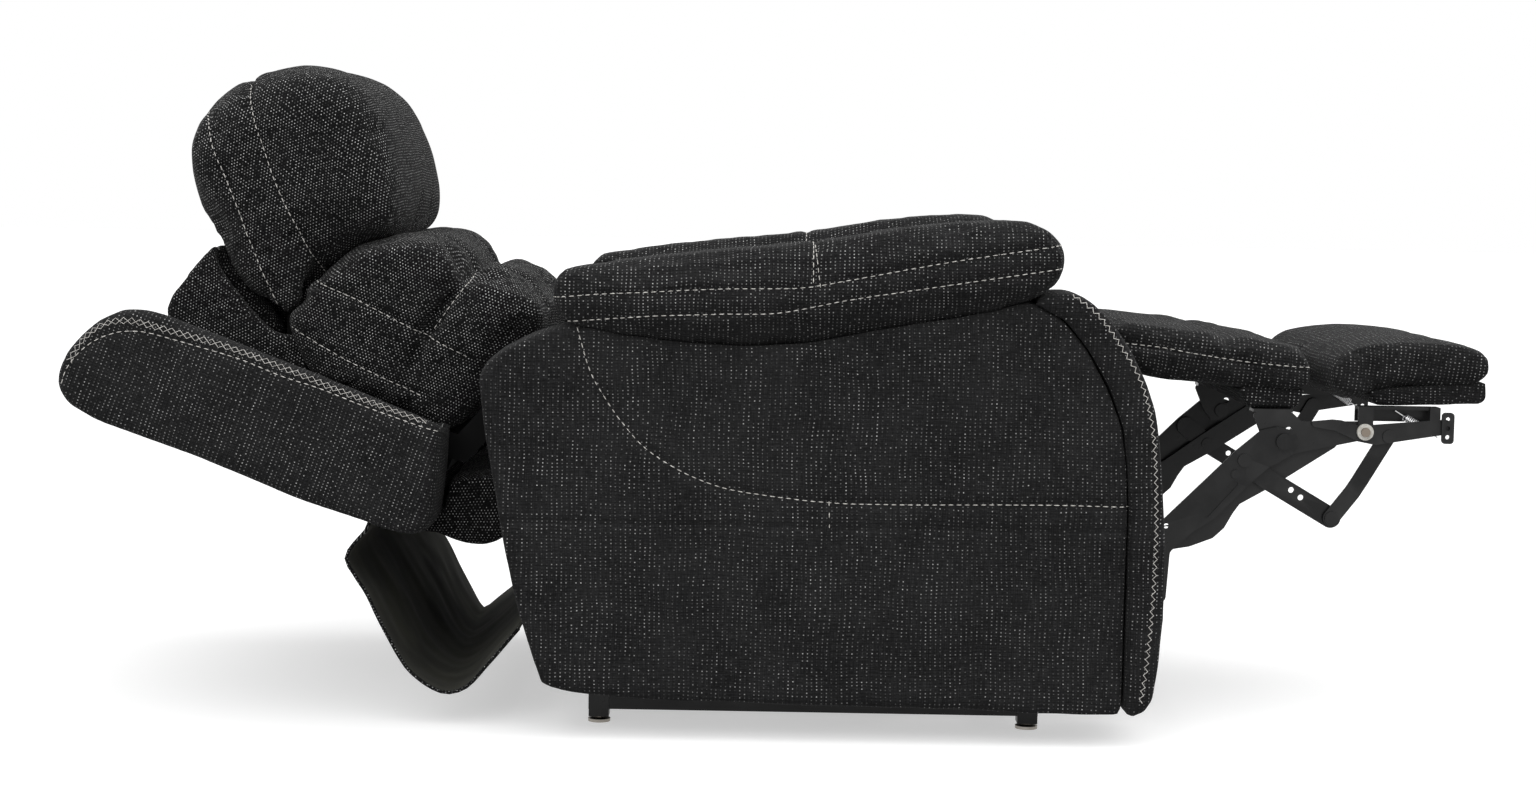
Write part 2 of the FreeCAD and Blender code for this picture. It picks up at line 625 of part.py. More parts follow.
def onHead(s, t):
    return (headPivot[0] + boardRun[0] * s + boardFace[0] * t, headPivot[1] + boardRun[1] * s + boardFace[1] * t)


headBoard = newBody("headrest_panel", False)
corners = [onHead(-9, -6), onHead(188, -6), onHead(188, 6), onHead(-9, 6)]
pad(headBoard, sketchOn(headBoard, "XZ_Plane", -190, rounded(corners, 5)), 380)
headPins = [headBoard]
for s in (-1, 1):
    headPins.append(pinAlongY(headPivot, s * 190, s * 208, "sizes.mainPin"))
    headPins.append(pinAlongY(headPivot, s * 204.4, s * 208, 9))
fuse("headrest_board", headPins)
pillowOutline = [(-667, 513), (-693, 526), (-711, 543), (-730, 566), (-748, 592), (-764, 622), (-774, 642),
                 (-793, 679), (-807, 720), (-812, 748), (-809, 776), (-797, 799), (-766, 828), (-729, 846),
                 (-682, 862), (-640, 868), (-600, 860), (-572, 840), (-546, 802), (-528, 752), (-518, 702),
                 (-518, 666), (-527, 645), (-545, 639.5), (-577, 635), (-600, 615), (-632, 590), (-645, 562),
                 (-649, 540), (-654, 520)]
stuffed = pillow(pillowOutline, headHalf, 30)
# The board lies in a pocket at the back, and a slot on each side clears the ear of the tray.
pocket = [onHead(-60, 6.3), onHead(189, 6.3), onHead(189, -80), onHead(-60, -80)]
ring = [vec(x, -190.4, z) for x, z in pocket]
taken = Part.Face(Part.makePolygon(ring + [ring[0]])).extrude(vec(0, 380.8, 0))
for s in (-1, 1):
    low = min(s * 190, s * 211)
    taken = taken.fuse(Part.makeCylinder(46, 21, vec(headPivot[0], low, headPivot[1]), vec(0, 1, 0)))
feature("head_pillow", stuffed.cut(taken))
# Cloth behind the pillow: a centre, a back edge and a side web beyond each ear.
gusset = pillow([(-774, 626), (-828, 545), (-828, 523), (-802, 513), (-700, 480), (-680, 492), (-686, 520)],
                188, 12, 0, (0, 0.8, 1.0))
backEdge = [(-768, 629), (-796, 594), (-828, 545), (-828, 518), (-800, 508), (-782, 560), (-768, 610)]
sideWeb = [(-768, 629), (-796, 594), (-828, 545), (-828, 518), (-798, 507), onBack(225, 20.8), (-638, 500), (-652, 506),
           (-668, 508), (-686, 512), (-699, 522), (-716, 539), (-736, 563), (-753, 589), (-769, 619)]
for corners, low, high in ((backEdge, -236, 236), (sideWeb, -236, -213), (sideWeb, 213, 236)):
    ring = [vec(x, low, z) for x, z in corners]
    gusset = gusset.fuse(Part.Face(Part.makePolygon(ring + [ring[0]])).extrude(vec(0, high - low, 0)))
feature("headrest_gusset", gusset.removeSplitter())

# Footrest linkage. Every link lies in its own layer; the far side is its mirror.
railEnd = (897, 410)
mainOutline = [(480, 168), (488, 232), (512, 274), (536, 298), (586, 348), (612, 374), (646, 403), (668, 408),
               (690, 403), (698, 388), (690, 371), (658, 353), (628, 326), (588, 284), (556, 262), (528, 236),
               (524, 172), (510, 154), (494, 154)]
rearOutline = [(503, 262), (514, 268), (551, 276), (582, 303), (647, 350), (728, 405), (741, 409.5), (753, 403),
               (756, 390), (748, 380), (667, 327), (622, 301), (613, 288), (602, 268), (587, 254), (556, 242),
               (533, 238), (512, 237), (499, 247)]
bracketOutline = [(634, 427), (688, 427), (701, 415), (778, 416.5), (790, 414), (798, 403), (792, 391),
                  (778, 390), (690, 371), (662, 373), (649, 390)]
railOutline = [(713, 416), (742, 419), (754, 418), (778, 411), (889, 421), (899, 421), (899, 402), (800, 385.5), (776, 390),
               (745, 404), (715, 409)]
pushBend = (781, 334)
jogLow, jogHigh = polar(pushBend, 16, math.atan2(285.5 - 334, 744 - 781)), polar(pushBend, 2, 1.05)


def groove(name, s):
    """The pressed groove along the main link: a shallow slot in its outer face."""
    low, high = (575, 288), (612, 330)
    slot = newBody("groove_" + name, False)
    outer = mainLayer + 1.0 if s > 0 else mainLayer + 1.0
    sidePad(slot, strap([low, high], 4.5), outer, s, 2.4)
    return slot


def pushLink(s):
    """The push link steps sideways between its two layers, so it clears the rail and the swing link."""
    def plate(path, outer):
        edges = []
        for piece in strap(path, 11):
            ends = [vec(p[0], s * outer, p[1]) for p in piece[1:]]
            edges.append(Part.makeLine(*ends) if piece[0] == "line" else Part.Arc(*ends).toShape())
        return Part.Face(Part.Wire(edges)).extrude(vec(0, -s * linkPlate, 0))
    lowPlate = plate([swingLow, jogLow], mainLayer)
    highPlate = plate([jogHigh, pushTop], bracketLayer)
    across = unit(swingLow, pushBend)
    side = (-across[1] * 11, across[0] * 11)
    rings = []
    for centre, outer in ((jogLow, mainLayer), (jogHigh, bracketLayer)):
        a = (centre[0] + side[0], centre[1] + side[1])
        b = (centre[0] - side[0], centre[1] - side[1])
        ring = [vec(a[0], s * outer, a[1]), vec(b[0], s * outer, b[1]),
                vec(b[0], s * (outer - linkPlate), b[1]), vec(a[0], s * (outer - linkPlate), a[1])]
        rings.append(Part.makePolygon(ring + [ring[0]]))
    step = Part.makeLoft(rings, True, True)
    body = lowPlate.fuse([step, highPlate])
    body = body.cut(Part.makeCylinder(linkPin + runFit, 60, vec(swingLow[0], s * 250 - 30, swingLow[1]), vec(0, 1, 0)))
    for a, b, r in ((bracketLayer - linkPlate, mainLayer + 0.3, 4), (mainLayer + 0.3, mainLayer + 2.4, 9)):
        low, high = sorted((s * a, s * b))
        body = body.fuse(Part.makeCylinder(r, high - low, vec(pushTop[0], low, pushTop[1]), vec(0, 1, 0)))
    return body.removeSplitter()


for name, s in sides:
    link(name + "_drive_link", strap([drivePivot, mainLow], 18), driveLayer, "sizes.driveLinkPlate", s,
         [(drivePivot, "sizes.tubeStub"), (mainLow, "sizes.liftPin + sizes.runFit")])
    plain = newBody(name + "_main_plate", False)
    holes = [(mainLow, "sizes.liftPin"), (swingTop, "sizes.linkPin + sizes.runFit"), ((522, 271), 3.6)]
    sidePad(plain, rounded(mainOutline, 10), mainLayer, s, "sizes.linkPlate", holes)
    pressed = cut(plain, [groove(name, s)])
    fuse(name + "_main_link", [pressed,
         pinAlongY(mainTop, s * 240, s * mainLayer, "sizes.mainPin"),
         pinAlongY(mainTop, s * mainLayer, s * (mainLayer + 4), 11),
         pinAlongY(mainTop, s * 238, s * 241.6, 10),
         pinAlongY((613, 343), s * mainLayer, s * (mainLayer + 1.5), 6)])
    link(name + "_rear_link", rounded(rearOutline, 7), rearLayer, "sizes.linkPlate", s,
         [(rearTop, "sizes.linkPin + sizes.runFit"), (rearMid, 5.6), ((524, 262), 7)])
    swingRoute = [swingTop, rearMid, swingLow]
    link(name + "_swing_link", strap(swingRoute, 14), bracketLayer, "sizes.linkPlate", s,
         [((690, 322), 4), ((703, 312), 4)],
         [(swingTop, 242, mainLayer + 0.3, "sizes.linkPin"), (swingTop, mainLayer + 0.3, mainLayer + 2.6, 9),
          (rearMid, 235.7, 242.5, 4), (rearMid, 233.6, 235.7, 9),
          (swingLow, 245, mainLayer + 0.3, "sizes.linkPin"), (swingLow, mainLayer + 0.3, mainLayer + 2.6, 9)])
    feature(name + "_push_link", pushLink(s))
    bracket = newBody(name + "_bracket_plate", False)
    holes = [(mainTop, "sizes.mainPin + sizes.runFit"), (railPivot, "sizes.linkPin + sizes.runFit"),
             ((684, 403), 4.5)]
    sidePad(bracket, rounded(bracketOutline, 5), bracketLayer, s, "sizes.linkPlate", holes)
    low, high = sorted((s * 214, s * bracketLayer))
    fuse(name + "_footrest_bracket", [bracket, box((636, low, 427), (689, high, 431)),
         pinAlongY(rearTop, s * 235.7, s * 242.5, "sizes.linkPin"),
         pinAlongY(rearTop, s * 233.4, s * 235.7, 9)])
    rail = newBody(name + "_rail_plate", False)
    sidePad(rail, rounded(railOutline, 5), mainLayer, s, "sizes.linkPlate", [(pushTop, 6.6)])
    end = newBody(name + "_rail_end", False)
    endOutline = [(887.5, 389), (904, 389), (904, 431), (887.5, 431)]
    endHoles = [((895.5, 398), 3), ((895.5, 410), 3), ((895.5, 422), 3)]
    sidePad(end, rounded(endOutline, 5), mainLayer + 4, s, 4, endHoles)
    # Flange under the board, its inner lip, and a tab at each end that leaves the spring in view between them.
    low, high = sorted((s * 226, s * 248))
    lip, lipEnd = sorted((s * 226, s * 230))
    wall, wallEnd = sorted((s * 246.4, s * mainLayer))
    fuse(name + "_extension_rail", [rail, end, box((776, low, 433), (886, high, 437)),
         box((776, lip, 416), (886, lipEnd, 434)), box((776, wall, 407), (796, wallEnd, 437)),
         box((872, wall, 414), (886, wallEnd, 437)),
         pinAlongY(railPivot, s * 241, s * 249, "sizes.linkPin"), pinAlongY(railPivot, s * 238.8, s * 241.4, 8)])

# Tubes between the two sides: one turned by the motor, one that keeps the main links together.
drive = [pinAlongY(drivePivot, -190, 190, 13)]
drive += [pinAlongY(drivePivot, s * 190, s * 232, "sizes.tubeStub") for s in (-1, 1)]
fuse("footrest_drive_tube", drive)
tie = [pinAlongY(mainLow, -225.5, 225.5, 13)]
for name, s in sides:
    tie.append(pinAlongY(mainLow, s * 225.5, s * mainLayer, "sizes.liftPin"))
    tie.append(pinAlongY(mainLow, s * mainLayer, s * (mainLayer + 3), 13))
fuse("footrest_tie_tube", tie)

# Boards, bushes and springs of the two footrest pads.
board = newBody("footrest_board")
pad(board, sketchOn(board, "XZ_Plane", -boardHalf, rounded([(617, 460), (708, 460), (697, 431), (631, 431)], 3)),
    "2 * sizes.boardHalf")
board = newBody("extension_board")
pad(board, sketchOn(board, "XZ_Plane", -boardHalf, rounded([(789, 458), (950, 472), (953, 448), (945, 441), (803, 437)], 3)),
    "2 * sizes.boardHalf")
bushes = []
for name, s in sides:
    bushes.append(pinAlongY(railPivot, s * mainLayer, s * (mainLayer + 5), 11))
    bushes.append(pinAlongY(railPivot, s * (mainLayer + 5), s * (mainLayer + 9), 6))
fuse("extension_bushes", bushes)

legPad = [(438, 538), (436, 522), (446, 499), (485, 476), (516, 470.5), (551, 467), (582, 464.5), (602, 462),
          (618, 460.3), (707, 460.3), (718, 464), (724, 473), (726, 487), (719, 500), (704, 507), (682, 512),
          (658, 516), (634, 521), (599, 526), (564, 530), (532, 533), (500, 536), (469, 538), (450, 540)]
feature("footrest_pad", pillow(legPad, footHalf, 12))
extPad = [(730, 488), (742, 498), (758, 507), (779, 515), (804, 521), (837, 524), (870, 523), (905, 519),
          (932, 513), (948, 506), (954, 498), (955, 487), (953, 477), (945, 472), (843, 463), (790, 458.5),
          (781, 454), (771, 448), (758, 445), (745, 448), (734, 456), (729, 470)]
feature("extension_pad", pillow(extPad, footHalf, 12))


def spring(start, end, lane):
    """One extension spring: a single unbroken wire with straight tails, in the form of a tube of flat sides."""
    wire, radius, curls, pitch, steps, sideCount = 1.7, 5.0, 14, 2.6, 10, 6
    run = math.dist(start, end)
    tail = (run - curls * pitch) / 2.0
    centres = [(0.0, 0.0, 0.0), (0.0, 0.0, tail - 3.0)]
    for i in range(curls * steps + 1):
        turn = 2.0 * math.pi * i / steps
        centres.append((radius * math.cos(turn), radius * math.sin(turn), tail + pitch * i / steps))
    centres += [(0.0, 0.0, run - tail + 3.0), (0.0, 0.0, run)]
    tilt = math.atan2(end[0] - start[0], end[1] - start[1])
    rings = []
    for i, p in enumerate(centres):
        ahead = vec(*centres[min(i + 1, len(centres) - 1)]) - vec(*centres[max(i - 1, 0)])
        ahead.normalize()
        out = vec(p[0], p[1], 0) if math.hypot(p[0], p[1]) > 1 else vec(1, 0, 0)
        out.normalize()
        out = (out - ahead * out.dot(ahead)).normalize()
        across = ahead.cross(out)
        ring = []
        for k in range(sideCount):
            a = 2.0 * math.pi * k / sideCount
            q = vec(*p) + (out * math.cos(a) + across * math.sin(a)) * (wire / 2)
            ring.append(vec(start[0] + q.x * math.cos(tilt) + q.z * math.sin(tilt), lane + q.y,
                            start[1] - q.x * math.sin(tilt) + q.z * math.cos(tilt)))
        rings.append(Part.makePolygon(ring + [ring[0]]))
    gap = min(math.dist(centres[i], centres[i + steps]) for i in range(2, len(centres) - steps - 2)) - wire
    return Part.makeLoft(rings, True, True), gap


springs = []
for name, s in sides:
    coil, gap = spring((828, 431.5), (886, 396), s * 239)
    springs.append(coil)
    print(name, "spring, least gap between curls", round(gap, 2), "mm")
feature("extension_springs", Part.makeCompound(springs))

# Rear flap: one hanging cloth from the foot of the back to the rear of the arms.
flapRoute = [(-542, 260), (-569, 225), (-557, 197), (-542, 173), (-511, 112), (-495, 86), (-483, 71), (-461, 53),
             (-439, 45), (-418, 49), (-402, 60), (-381, 85), (-341, 132)]
# On the far side the cloth hangs in a sharper fold.
flapFold = [(-542, 260), (-567, 232), (-560, 212), (-544, 186), (-521, 152), (-501, 112), (-483, 77), (-468, 52),
            (-460, 45), (-449, 53), (-417, 79), (-385, 105), (-345, 136)]
flapThick = 5.0


def flapSection(y, sag):
    left, right = [], []
    share = (y + flapHalf) / (2 * flapHalf)
    share = share * share * (3 - 2 * share)
    route = [(a[0] + (b[0] - a[0]) * share, a[1] + (b[1] - a[1]) * share) for a, b in zip(flapRoute, flapFold)]
    for i, p in enumerate(route):
        before, after = route[max(0, i - 1)], route[min(len(route) - 1, i + 1)]
        d = unit(before, after)
        depth = sag * math.sin(math.pi * i / (len(route) - 1))
        x, z = p[0] - d[1] * depth, p[1] + d[0] * depth
        left.append(vec(x - d[1] * flapThick / 2, y, z + d[0] * flapThick / 2))
        right.append(vec(x + d[1] * flapThick / 2, y, z - d[0] * flapThick / 2))
    ring = left + right[::-1]
    return Part.makePolygon(ring + [ring[0]])


stations = 16
sections = []
for i in range(stations + 1):
    y = -flapHalf + 2 * flapHalf * i / stations
    sections.append(flapSection(y, 5 * math.sin(i * 1.9) + 3 * math.sin(i * 0.8)))
feature("rear_flap", Part.makeLoft(sections, True, True))

doc.recompute()
failed = []
for obj in doc.Objects:
    if "Invalid" in obj.State or "Error" in obj.State:
        failed.append(obj.Label)
for obj in nodes:
    if obj.Shape.isNull() or not obj.Shape.isValid():
        failed.append(obj.Label + " shape")
if failed:
    raise RuntimeError("failed: " + ", ".join(failed))
for obj in nodes:
    obj.Shape.exportStep("parts/" + obj.Label + ".step")
print(len(nodes), "pieces written")
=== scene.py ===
import bpy
import bmesh
import json
import math
import numpy as np
from mathutils import Matrix, Vector, noise
from mathutils.bvhtree import BVHTree


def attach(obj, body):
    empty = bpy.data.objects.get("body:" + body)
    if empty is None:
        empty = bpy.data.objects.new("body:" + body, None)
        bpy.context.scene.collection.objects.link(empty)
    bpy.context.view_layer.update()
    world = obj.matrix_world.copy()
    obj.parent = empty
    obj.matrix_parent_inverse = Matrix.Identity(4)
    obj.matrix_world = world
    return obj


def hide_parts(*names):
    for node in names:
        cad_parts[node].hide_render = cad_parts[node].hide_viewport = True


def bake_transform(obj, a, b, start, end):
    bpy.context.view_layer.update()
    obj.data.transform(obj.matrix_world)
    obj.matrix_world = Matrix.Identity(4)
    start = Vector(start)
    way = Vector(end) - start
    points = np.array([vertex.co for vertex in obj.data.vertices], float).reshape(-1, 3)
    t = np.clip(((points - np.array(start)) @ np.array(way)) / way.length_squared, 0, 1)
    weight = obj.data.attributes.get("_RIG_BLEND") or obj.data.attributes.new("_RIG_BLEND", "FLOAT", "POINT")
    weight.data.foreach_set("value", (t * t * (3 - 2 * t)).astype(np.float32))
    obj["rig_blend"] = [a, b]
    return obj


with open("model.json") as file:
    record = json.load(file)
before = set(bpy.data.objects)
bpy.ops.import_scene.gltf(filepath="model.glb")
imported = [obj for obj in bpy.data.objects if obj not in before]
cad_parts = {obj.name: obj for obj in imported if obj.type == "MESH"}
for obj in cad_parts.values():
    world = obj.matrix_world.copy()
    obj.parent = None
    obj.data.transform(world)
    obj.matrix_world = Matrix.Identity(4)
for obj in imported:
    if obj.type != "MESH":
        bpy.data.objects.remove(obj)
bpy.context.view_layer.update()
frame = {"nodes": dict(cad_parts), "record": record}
cadNodes = frame["nodes"]
bpy.context.view_layer.update()
print("frame loaded:", len(cadNodes), "nodes")

# Camera, at the photograph's place and angle.
camera = {"at": (-0.018, -3.760, 0.720), "down": 4.67, "roll": 1.0, "lens": 61.4,
          "sensor": 36.0, "clip": (0.05, 60.0)}
cameraData = bpy.data.cameras.new("camera")
cameraData.lens = camera["lens"]
cameraData.sensor_width = camera["sensor"]
cameraData.clip_start, cameraData.clip_end = camera["clip"]
cameraObject = bpy.data.objects.new("camera", cameraData)
bpy.context.scene.collection.objects.link(cameraObject)
tilt = Matrix.Rotation(math.radians(90.0 - camera["down"]), 4, "X")
roll = Matrix.Rotation(math.radians(camera["roll"]), 4, "Z")
cameraObject.matrix_world = Matrix.Translation(camera["at"]) @ tilt @ roll
bpy.context.scene.camera = cameraObject
bpy.context.scene.view_settings.view_transform = "Standard"


# Small helpers for node trees.
def addNode(tree, kind, at=(0, 0), **settings):
    made = tree.nodes.new(kind)
    made.location = at
    for key, setting in settings.items():
        setattr(made, key, setting)
    return made


def maths(tree, operation, first, second=None, third=None):
    made = tree.nodes.new("ShaderNodeMath")
    made.operation = operation
    for socket, given in zip(made.inputs, (first, second, third)):
        if given is None:
            continue
        if isinstance(given, (int, float)):
            socket.default_value = given
        else:
            tree.links.new(given, socket)
    return made.outputs[0]


def ramp(tree, given, low, high, toLow=0.0, toHigh=1.0, smooth=True):
    made = tree.nodes.new("ShaderNodeMapRange")
    made.interpolation_type = "SMOOTHSTEP" if smooth else "LINEAR"
    tree.links.new(given, made.inputs["Value"])
    for name, number in (("From Min", low), ("From Max", high), ("To Min", toLow), ("To Max", toHigh)):
        made.inputs[name].default_value = number
    return made.outputs["Result"]


def mixColour(tree, share, first, second):
    made = tree.nodes.new("ShaderNodeMix")
    made.data_type = "RGBA"
    tree.links.new(share, made.inputs[0])
    for socket, given in ((made.inputs[6], first), (made.inputs[7], second)):
        if isinstance(given, tuple):
            socket.default_value = (*given, 1.0)
        else:
            tree.links.new(given, socket)
    return made.outputs[2]


def newMaterial(name, roughness, metallic=0.0, **sockets):
    made = bpy.data.materials.new(name)
    made.use_nodes = True
    tree = made.node_tree
    shader = tree.nodes["Principled BSDF"]
    shader.inputs["Roughness"].default_value = roughness
    shader.inputs["Metallic"].default_value = metallic
    for key, number in sockets.items():
        shader.inputs[key.replace("_", " ")].default_value = number
    return made, tree, shader


def bump(tree, shader, height, strength, distance):
    made = tree.nodes.new("ShaderNodeBump")
    made.inputs["Strength"].default_value = strength
    made.inputs["Distance"].default_value = distance
    tree.links.new(height, made.inputs["Height"])
    tree.links.new(made.outputs[0], shader.inputs["Normal"])


def paint(tree, shader, share, first, second):
    tree.links.new(mixColour(tree, share, first, second), shader.inputs["Base Color"])


def objectPlace(tree):
    return addNode(tree, "ShaderNodeTexCoord").outputs["Object"]


def stretched(tree, place, scale):
    made = addNode(tree, "ShaderNodeMapping")
    made.inputs["Scale"].default_value = scale
    tree.links.new(place, made.inputs[0])
    return made.outputs[0]


def noiseOf(tree, place, scale, detail=2.0, distortion=0.0):
    made = addNode(tree, "ShaderNodeTexNoise")
    for name, number in (("Scale", scale), ("Detail", detail), ("Distortion", distortion)):
        made.inputs[name].default_value = number
    tree.links.new(place, made.inputs["Vector"])
    return made.outputs[0]


def chanceOf(tree, given, dimensions="1D"):
    made = addNode(tree, "ShaderNodeTexWhiteNoise", noise_dimensions=dimensions)
    tree.links.new(given, made.inputs["W" if dimensions == "1D" else "Vector"])
    return made.outputs["Value"]


# Upholstery cloth: a coarse dark weave with pale flecks. They lie in a loose grid on the flat panels and
# closer on the pillows.
weave = {
    "warp": 0.0063, "weft": 0.0047, "stagger": 0.0, "fleckWide": 0.11, "fleckHigh": 0.14,
    "dark": (0.0026, 0.0026, 0.0028), "mid": (0.0350, 0.0350, 0.0358), "fleck": (0.84, 0.84, 0.83),
    "fleckShare": 0.88, "even": 1.5, "columns": 0.42, "rows": 0.48, "patches": 0.58,
    "bump": 0.70, "depth": 0.0012,
}
closeWeave = dict(
    weave, warp=0.0043, weft=0.0037, stagger=0.5, fleckWide=0.15, fleckHigh=0.18,
    mid=(0.0130, 0.0130, 0.0133), fleck=(0.78, 0.78, 0.77),
    fleckShare=0.95, even=1.1, columns=0.82, rows=0.85, patches=0.85, bump=0.90, depth=0.0013)
padWeave = dict(
    closeWeave, warp=0.0056, weft=0.0042, stagger=0.0, fleckWide=0.13, fleckHigh=0.17,
    mid=(0.0300, 0.0300, 0.0306), fleck=(0.68, 0.68, 0.67),
    fleckShare=0.88, even=1.2, columns=0.55, rows=0.60, patches=0.60)


def makeCloth(name, look):
    made, tree, shader = newMaterial(name, roughness=0.94, Sheen_Weight=0.035, Sheen_Roughness=0.45,
                                     Specular_IOR_Level=0.09)
    uv = addNode(tree, "ShaderNodeUVMap", uv_map="Cloth").outputs[0]
    parts = addNode(tree, "ShaderNodeSeparateXYZ")
    tree.links.new(uv, parts.inputs[0])
    place = objectPlace(tree)
    drift = maths(tree, "MULTIPLY", maths(tree, "SUBTRACT", noiseOf(tree, place, scale=9.0), 0.5), 0.014)
    across = maths(tree, "DIVIDE", maths(tree, "ADD", parts.outputs[0], drift), look["warp"])
    along = maths(tree, "DIVIDE", maths(tree, "ADD", parts.outputs[1], drift), look["weft"])
    row = maths(tree, "FLOOR", along)
    odd = maths(tree, "MODULO", maths(tree, "ABSOLUTE", row), 2.0)
    across = maths(tree, "MULTIPLY_ADD", odd, look["stagger"], across)
    column = maths(tree, "FLOOR", across)
    cell = addNode(tree, "ShaderNodeCombineXYZ")
    tree.links.new(column, cell.inputs[0])
    tree.links.new(row, cell.inputs[1])
    # A fleck is a short float of pale yarn in the middle of its cell.
    edges = []
    for counted, reach in ((across, look["fleckWide"]), (along, look["fleckHigh"])):
        off = maths(tree, "ABSOLUTE", maths(tree, "SUBTRACT", maths(tree, "FRACT", counted), 0.5))
        edges.append(ramp(tree, off, reach * 0.7, reach * 1.3, 1.0, 0.0))
    chance = chanceOf(tree, cell.outputs[0], "2D")
    bright = ramp(tree, chance, 1.0 - look["fleckShare"], 1.0, smooth=False)
    bright = maths(tree, "POWER", bright, look["even"])
    fleckAmount = maths(tree, "MULTIPLY", maths(tree, "MULTIPLY", *edges), bright)
    # Some threads show fewer flecks, and the flecks gather in patches with darker cloth between.
    for share in (ramp(tree, chanceOf(tree, column), 0.15, 0.9, look["columns"], 1.0, smooth=False),
                  ramp(tree, chanceOf(tree, row), 0.1, 0.9, look["rows"], 1.0, smooth=False),
                  ramp(tree, noiseOf(tree, place, scale=22.0, detail=3.0), 0.32, 0.62, look["patches"], 1.0)):
        fleckAmount = maths(tree, "MULTIPLY", fleckAmount, share)
    # The dark yarn: streaks along both threads and a slow change of tone.
    streak = noiseOf(tree, stretched(tree, uv, (60.0, 900.0, 60.0)), scale=1.0, detail=3.0)
    streakUp = noiseOf(tree, stretched(tree, uv, (700.0, 45.0, 60.0)), scale=1.0, detail=3.0)
    tone = maths(tree, "MULTIPLY", ramp(tree, streak, 0.28, 0.72), ramp(tree, streakUp, 0.25, 0.75))
    slow = ramp(tree, noiseOf(tree, place, scale=16.0, detail=4.0), 0.3, 0.7, 0.12, 0.30)
    tone = maths(tree, "MULTIPLY_ADD", tone, 0.75, slow)
    paint(tree, shader, fleckAmount, mixColour(tree, tone, look["dark"], look["mid"]), look["fleck"])
    # Relief: rounded yarns over and under each other, and fine fibres.
    over = maths(tree, "MULTIPLY", *[maths(tree, "SINE", maths(tree, "MULTIPLY", counted, math.pi))
                                     for counted in (across, along)])
    fibre = maths(tree, "MULTIPLY", tone, 0.5)
    relief = maths(tree, "MULTIPLY_ADD", maths(tree, "ABSOLUTE", over), 0.8, fibre)
    relief = maths(tree, "ADD", relief, maths(tree, "MULTIPLY", fleckAmount, 0.5))
    bump(tree, shader, relief, look["bump"], look["depth"])
    return made


def makeLining(name, low, high, gloss):
    made, tree, shader = newMaterial(name, roughness=0.95, Sheen_Weight=0.04, Specular_IOR_Level=gloss)
    place = objectPlace(tree)
    paint(tree, shader, ramp(tree, noiseOf(tree, place, scale=12.0, detail=5.0), 0.3, 0.7), low, high)
    bump(tree, shader, noiseOf(tree, place, scale=420.0), strength=0.4, distance=0.0006)
    return made


def makeSteel(name, low, high, roughness, metallic, grain, gloss=0.5):
    made, tree, shader = newMaterial(name, roughness, metallic, Specular_IOR_Level=gloss)
    place = objectPlace(tree)
    slow = noiseOf(tree, place, scale=34.0, detail=6.0)
    # Edges are painted a little paler: partly rubbed wear, partly a painted highlight along the bevels.
    edgeHighlightWear = ramp(tree, addNode(tree, "ShaderNodeNewGeometry").outputs["Pointiness"], 0.53, 0.62)
    tone = maths(tree, "ADD", ramp(tree, slow, 0.35, 0.75, 0.0, 0.5), maths(tree, "MULTIPLY", edgeHighlightWear, 0.5))
    paint(tree, shader, tone, low, high)
    rough = ramp(tree, slow, 0.3, 0.7, roughness - 0.07, roughness + 0.09)
    tree.links.new(rough, shader.inputs["Roughness"])
    bump(tree, shader, noiseOf(tree, place, grain), strength=0.12, distance=0.0003)
    return made


def makePlastic(name, colour, roughness):
    made, tree, shader = newMaterial(name, roughness)
    place = objectPlace(tree)
    grain = addNode(tree, "ShaderNodeTexVoronoi")
    grain.inputs["Scale"].default_value = 900.0
    tree.links.new(place, grain.inputs["Vector"])
    paler = tuple(c * 1.35 + 0.004 for c in colour)
    paint(tree, shader, ramp(tree, noiseOf(tree, place, scale=20.0), 0.3, 0.7), colour, paler)
    bump(tree, shader, grain.outputs["Distance"], strength=0.15, distance=0.0002)
    return made


def makeWood():
    made, tree, shader = newMaterial("plywood", roughness=0.62)
    place = stretched(tree, objectPlace(tree), (40.0, 3.0, 60.0))
    grain = noiseOf(tree, place, scale=3.0, detail=8.0, distortion=0.6)
    paint(tree, shader, ramp(tree, grain, 0.32, 0.68), (0.23, 0.13, 0.06), (0.46, 0.31, 0.17))
    bump(tree, shader, grain, strength=0.2, distance=0.0004)
    return made


def makeWebbing():
    made, tree, shader = newMaterial("webbing", roughness=0.9)
    rib = addNode(tree, "ShaderNodeTexWave", bands_direction="Y")
    rib.inputs["Scale"].default_value = 160.0
    tree.links.new(objectPlace(tree), rib.inputs["Vector"])
    paint(tree, shader, rib.outputs["Fac"], (0.03, 0.03, 0.028), (0.10, 0.095, 0.09))
    bump(tree, shader, rib.outputs["Fac"], strength=0.4, distance=0.0006)
    return made


def makeThread():
    made, tree, shader = newMaterial("thread", roughness=0.7, Sheen_Weight=0.1)
    tone = ramp(tree, noiseOf(tree, objectPlace(tree), scale=300.0), 0.3, 0.7)
    paint(tree, shader, tone, (0.46, 0.44, 0.41), (0.80, 0.78, 0.74))
    return made


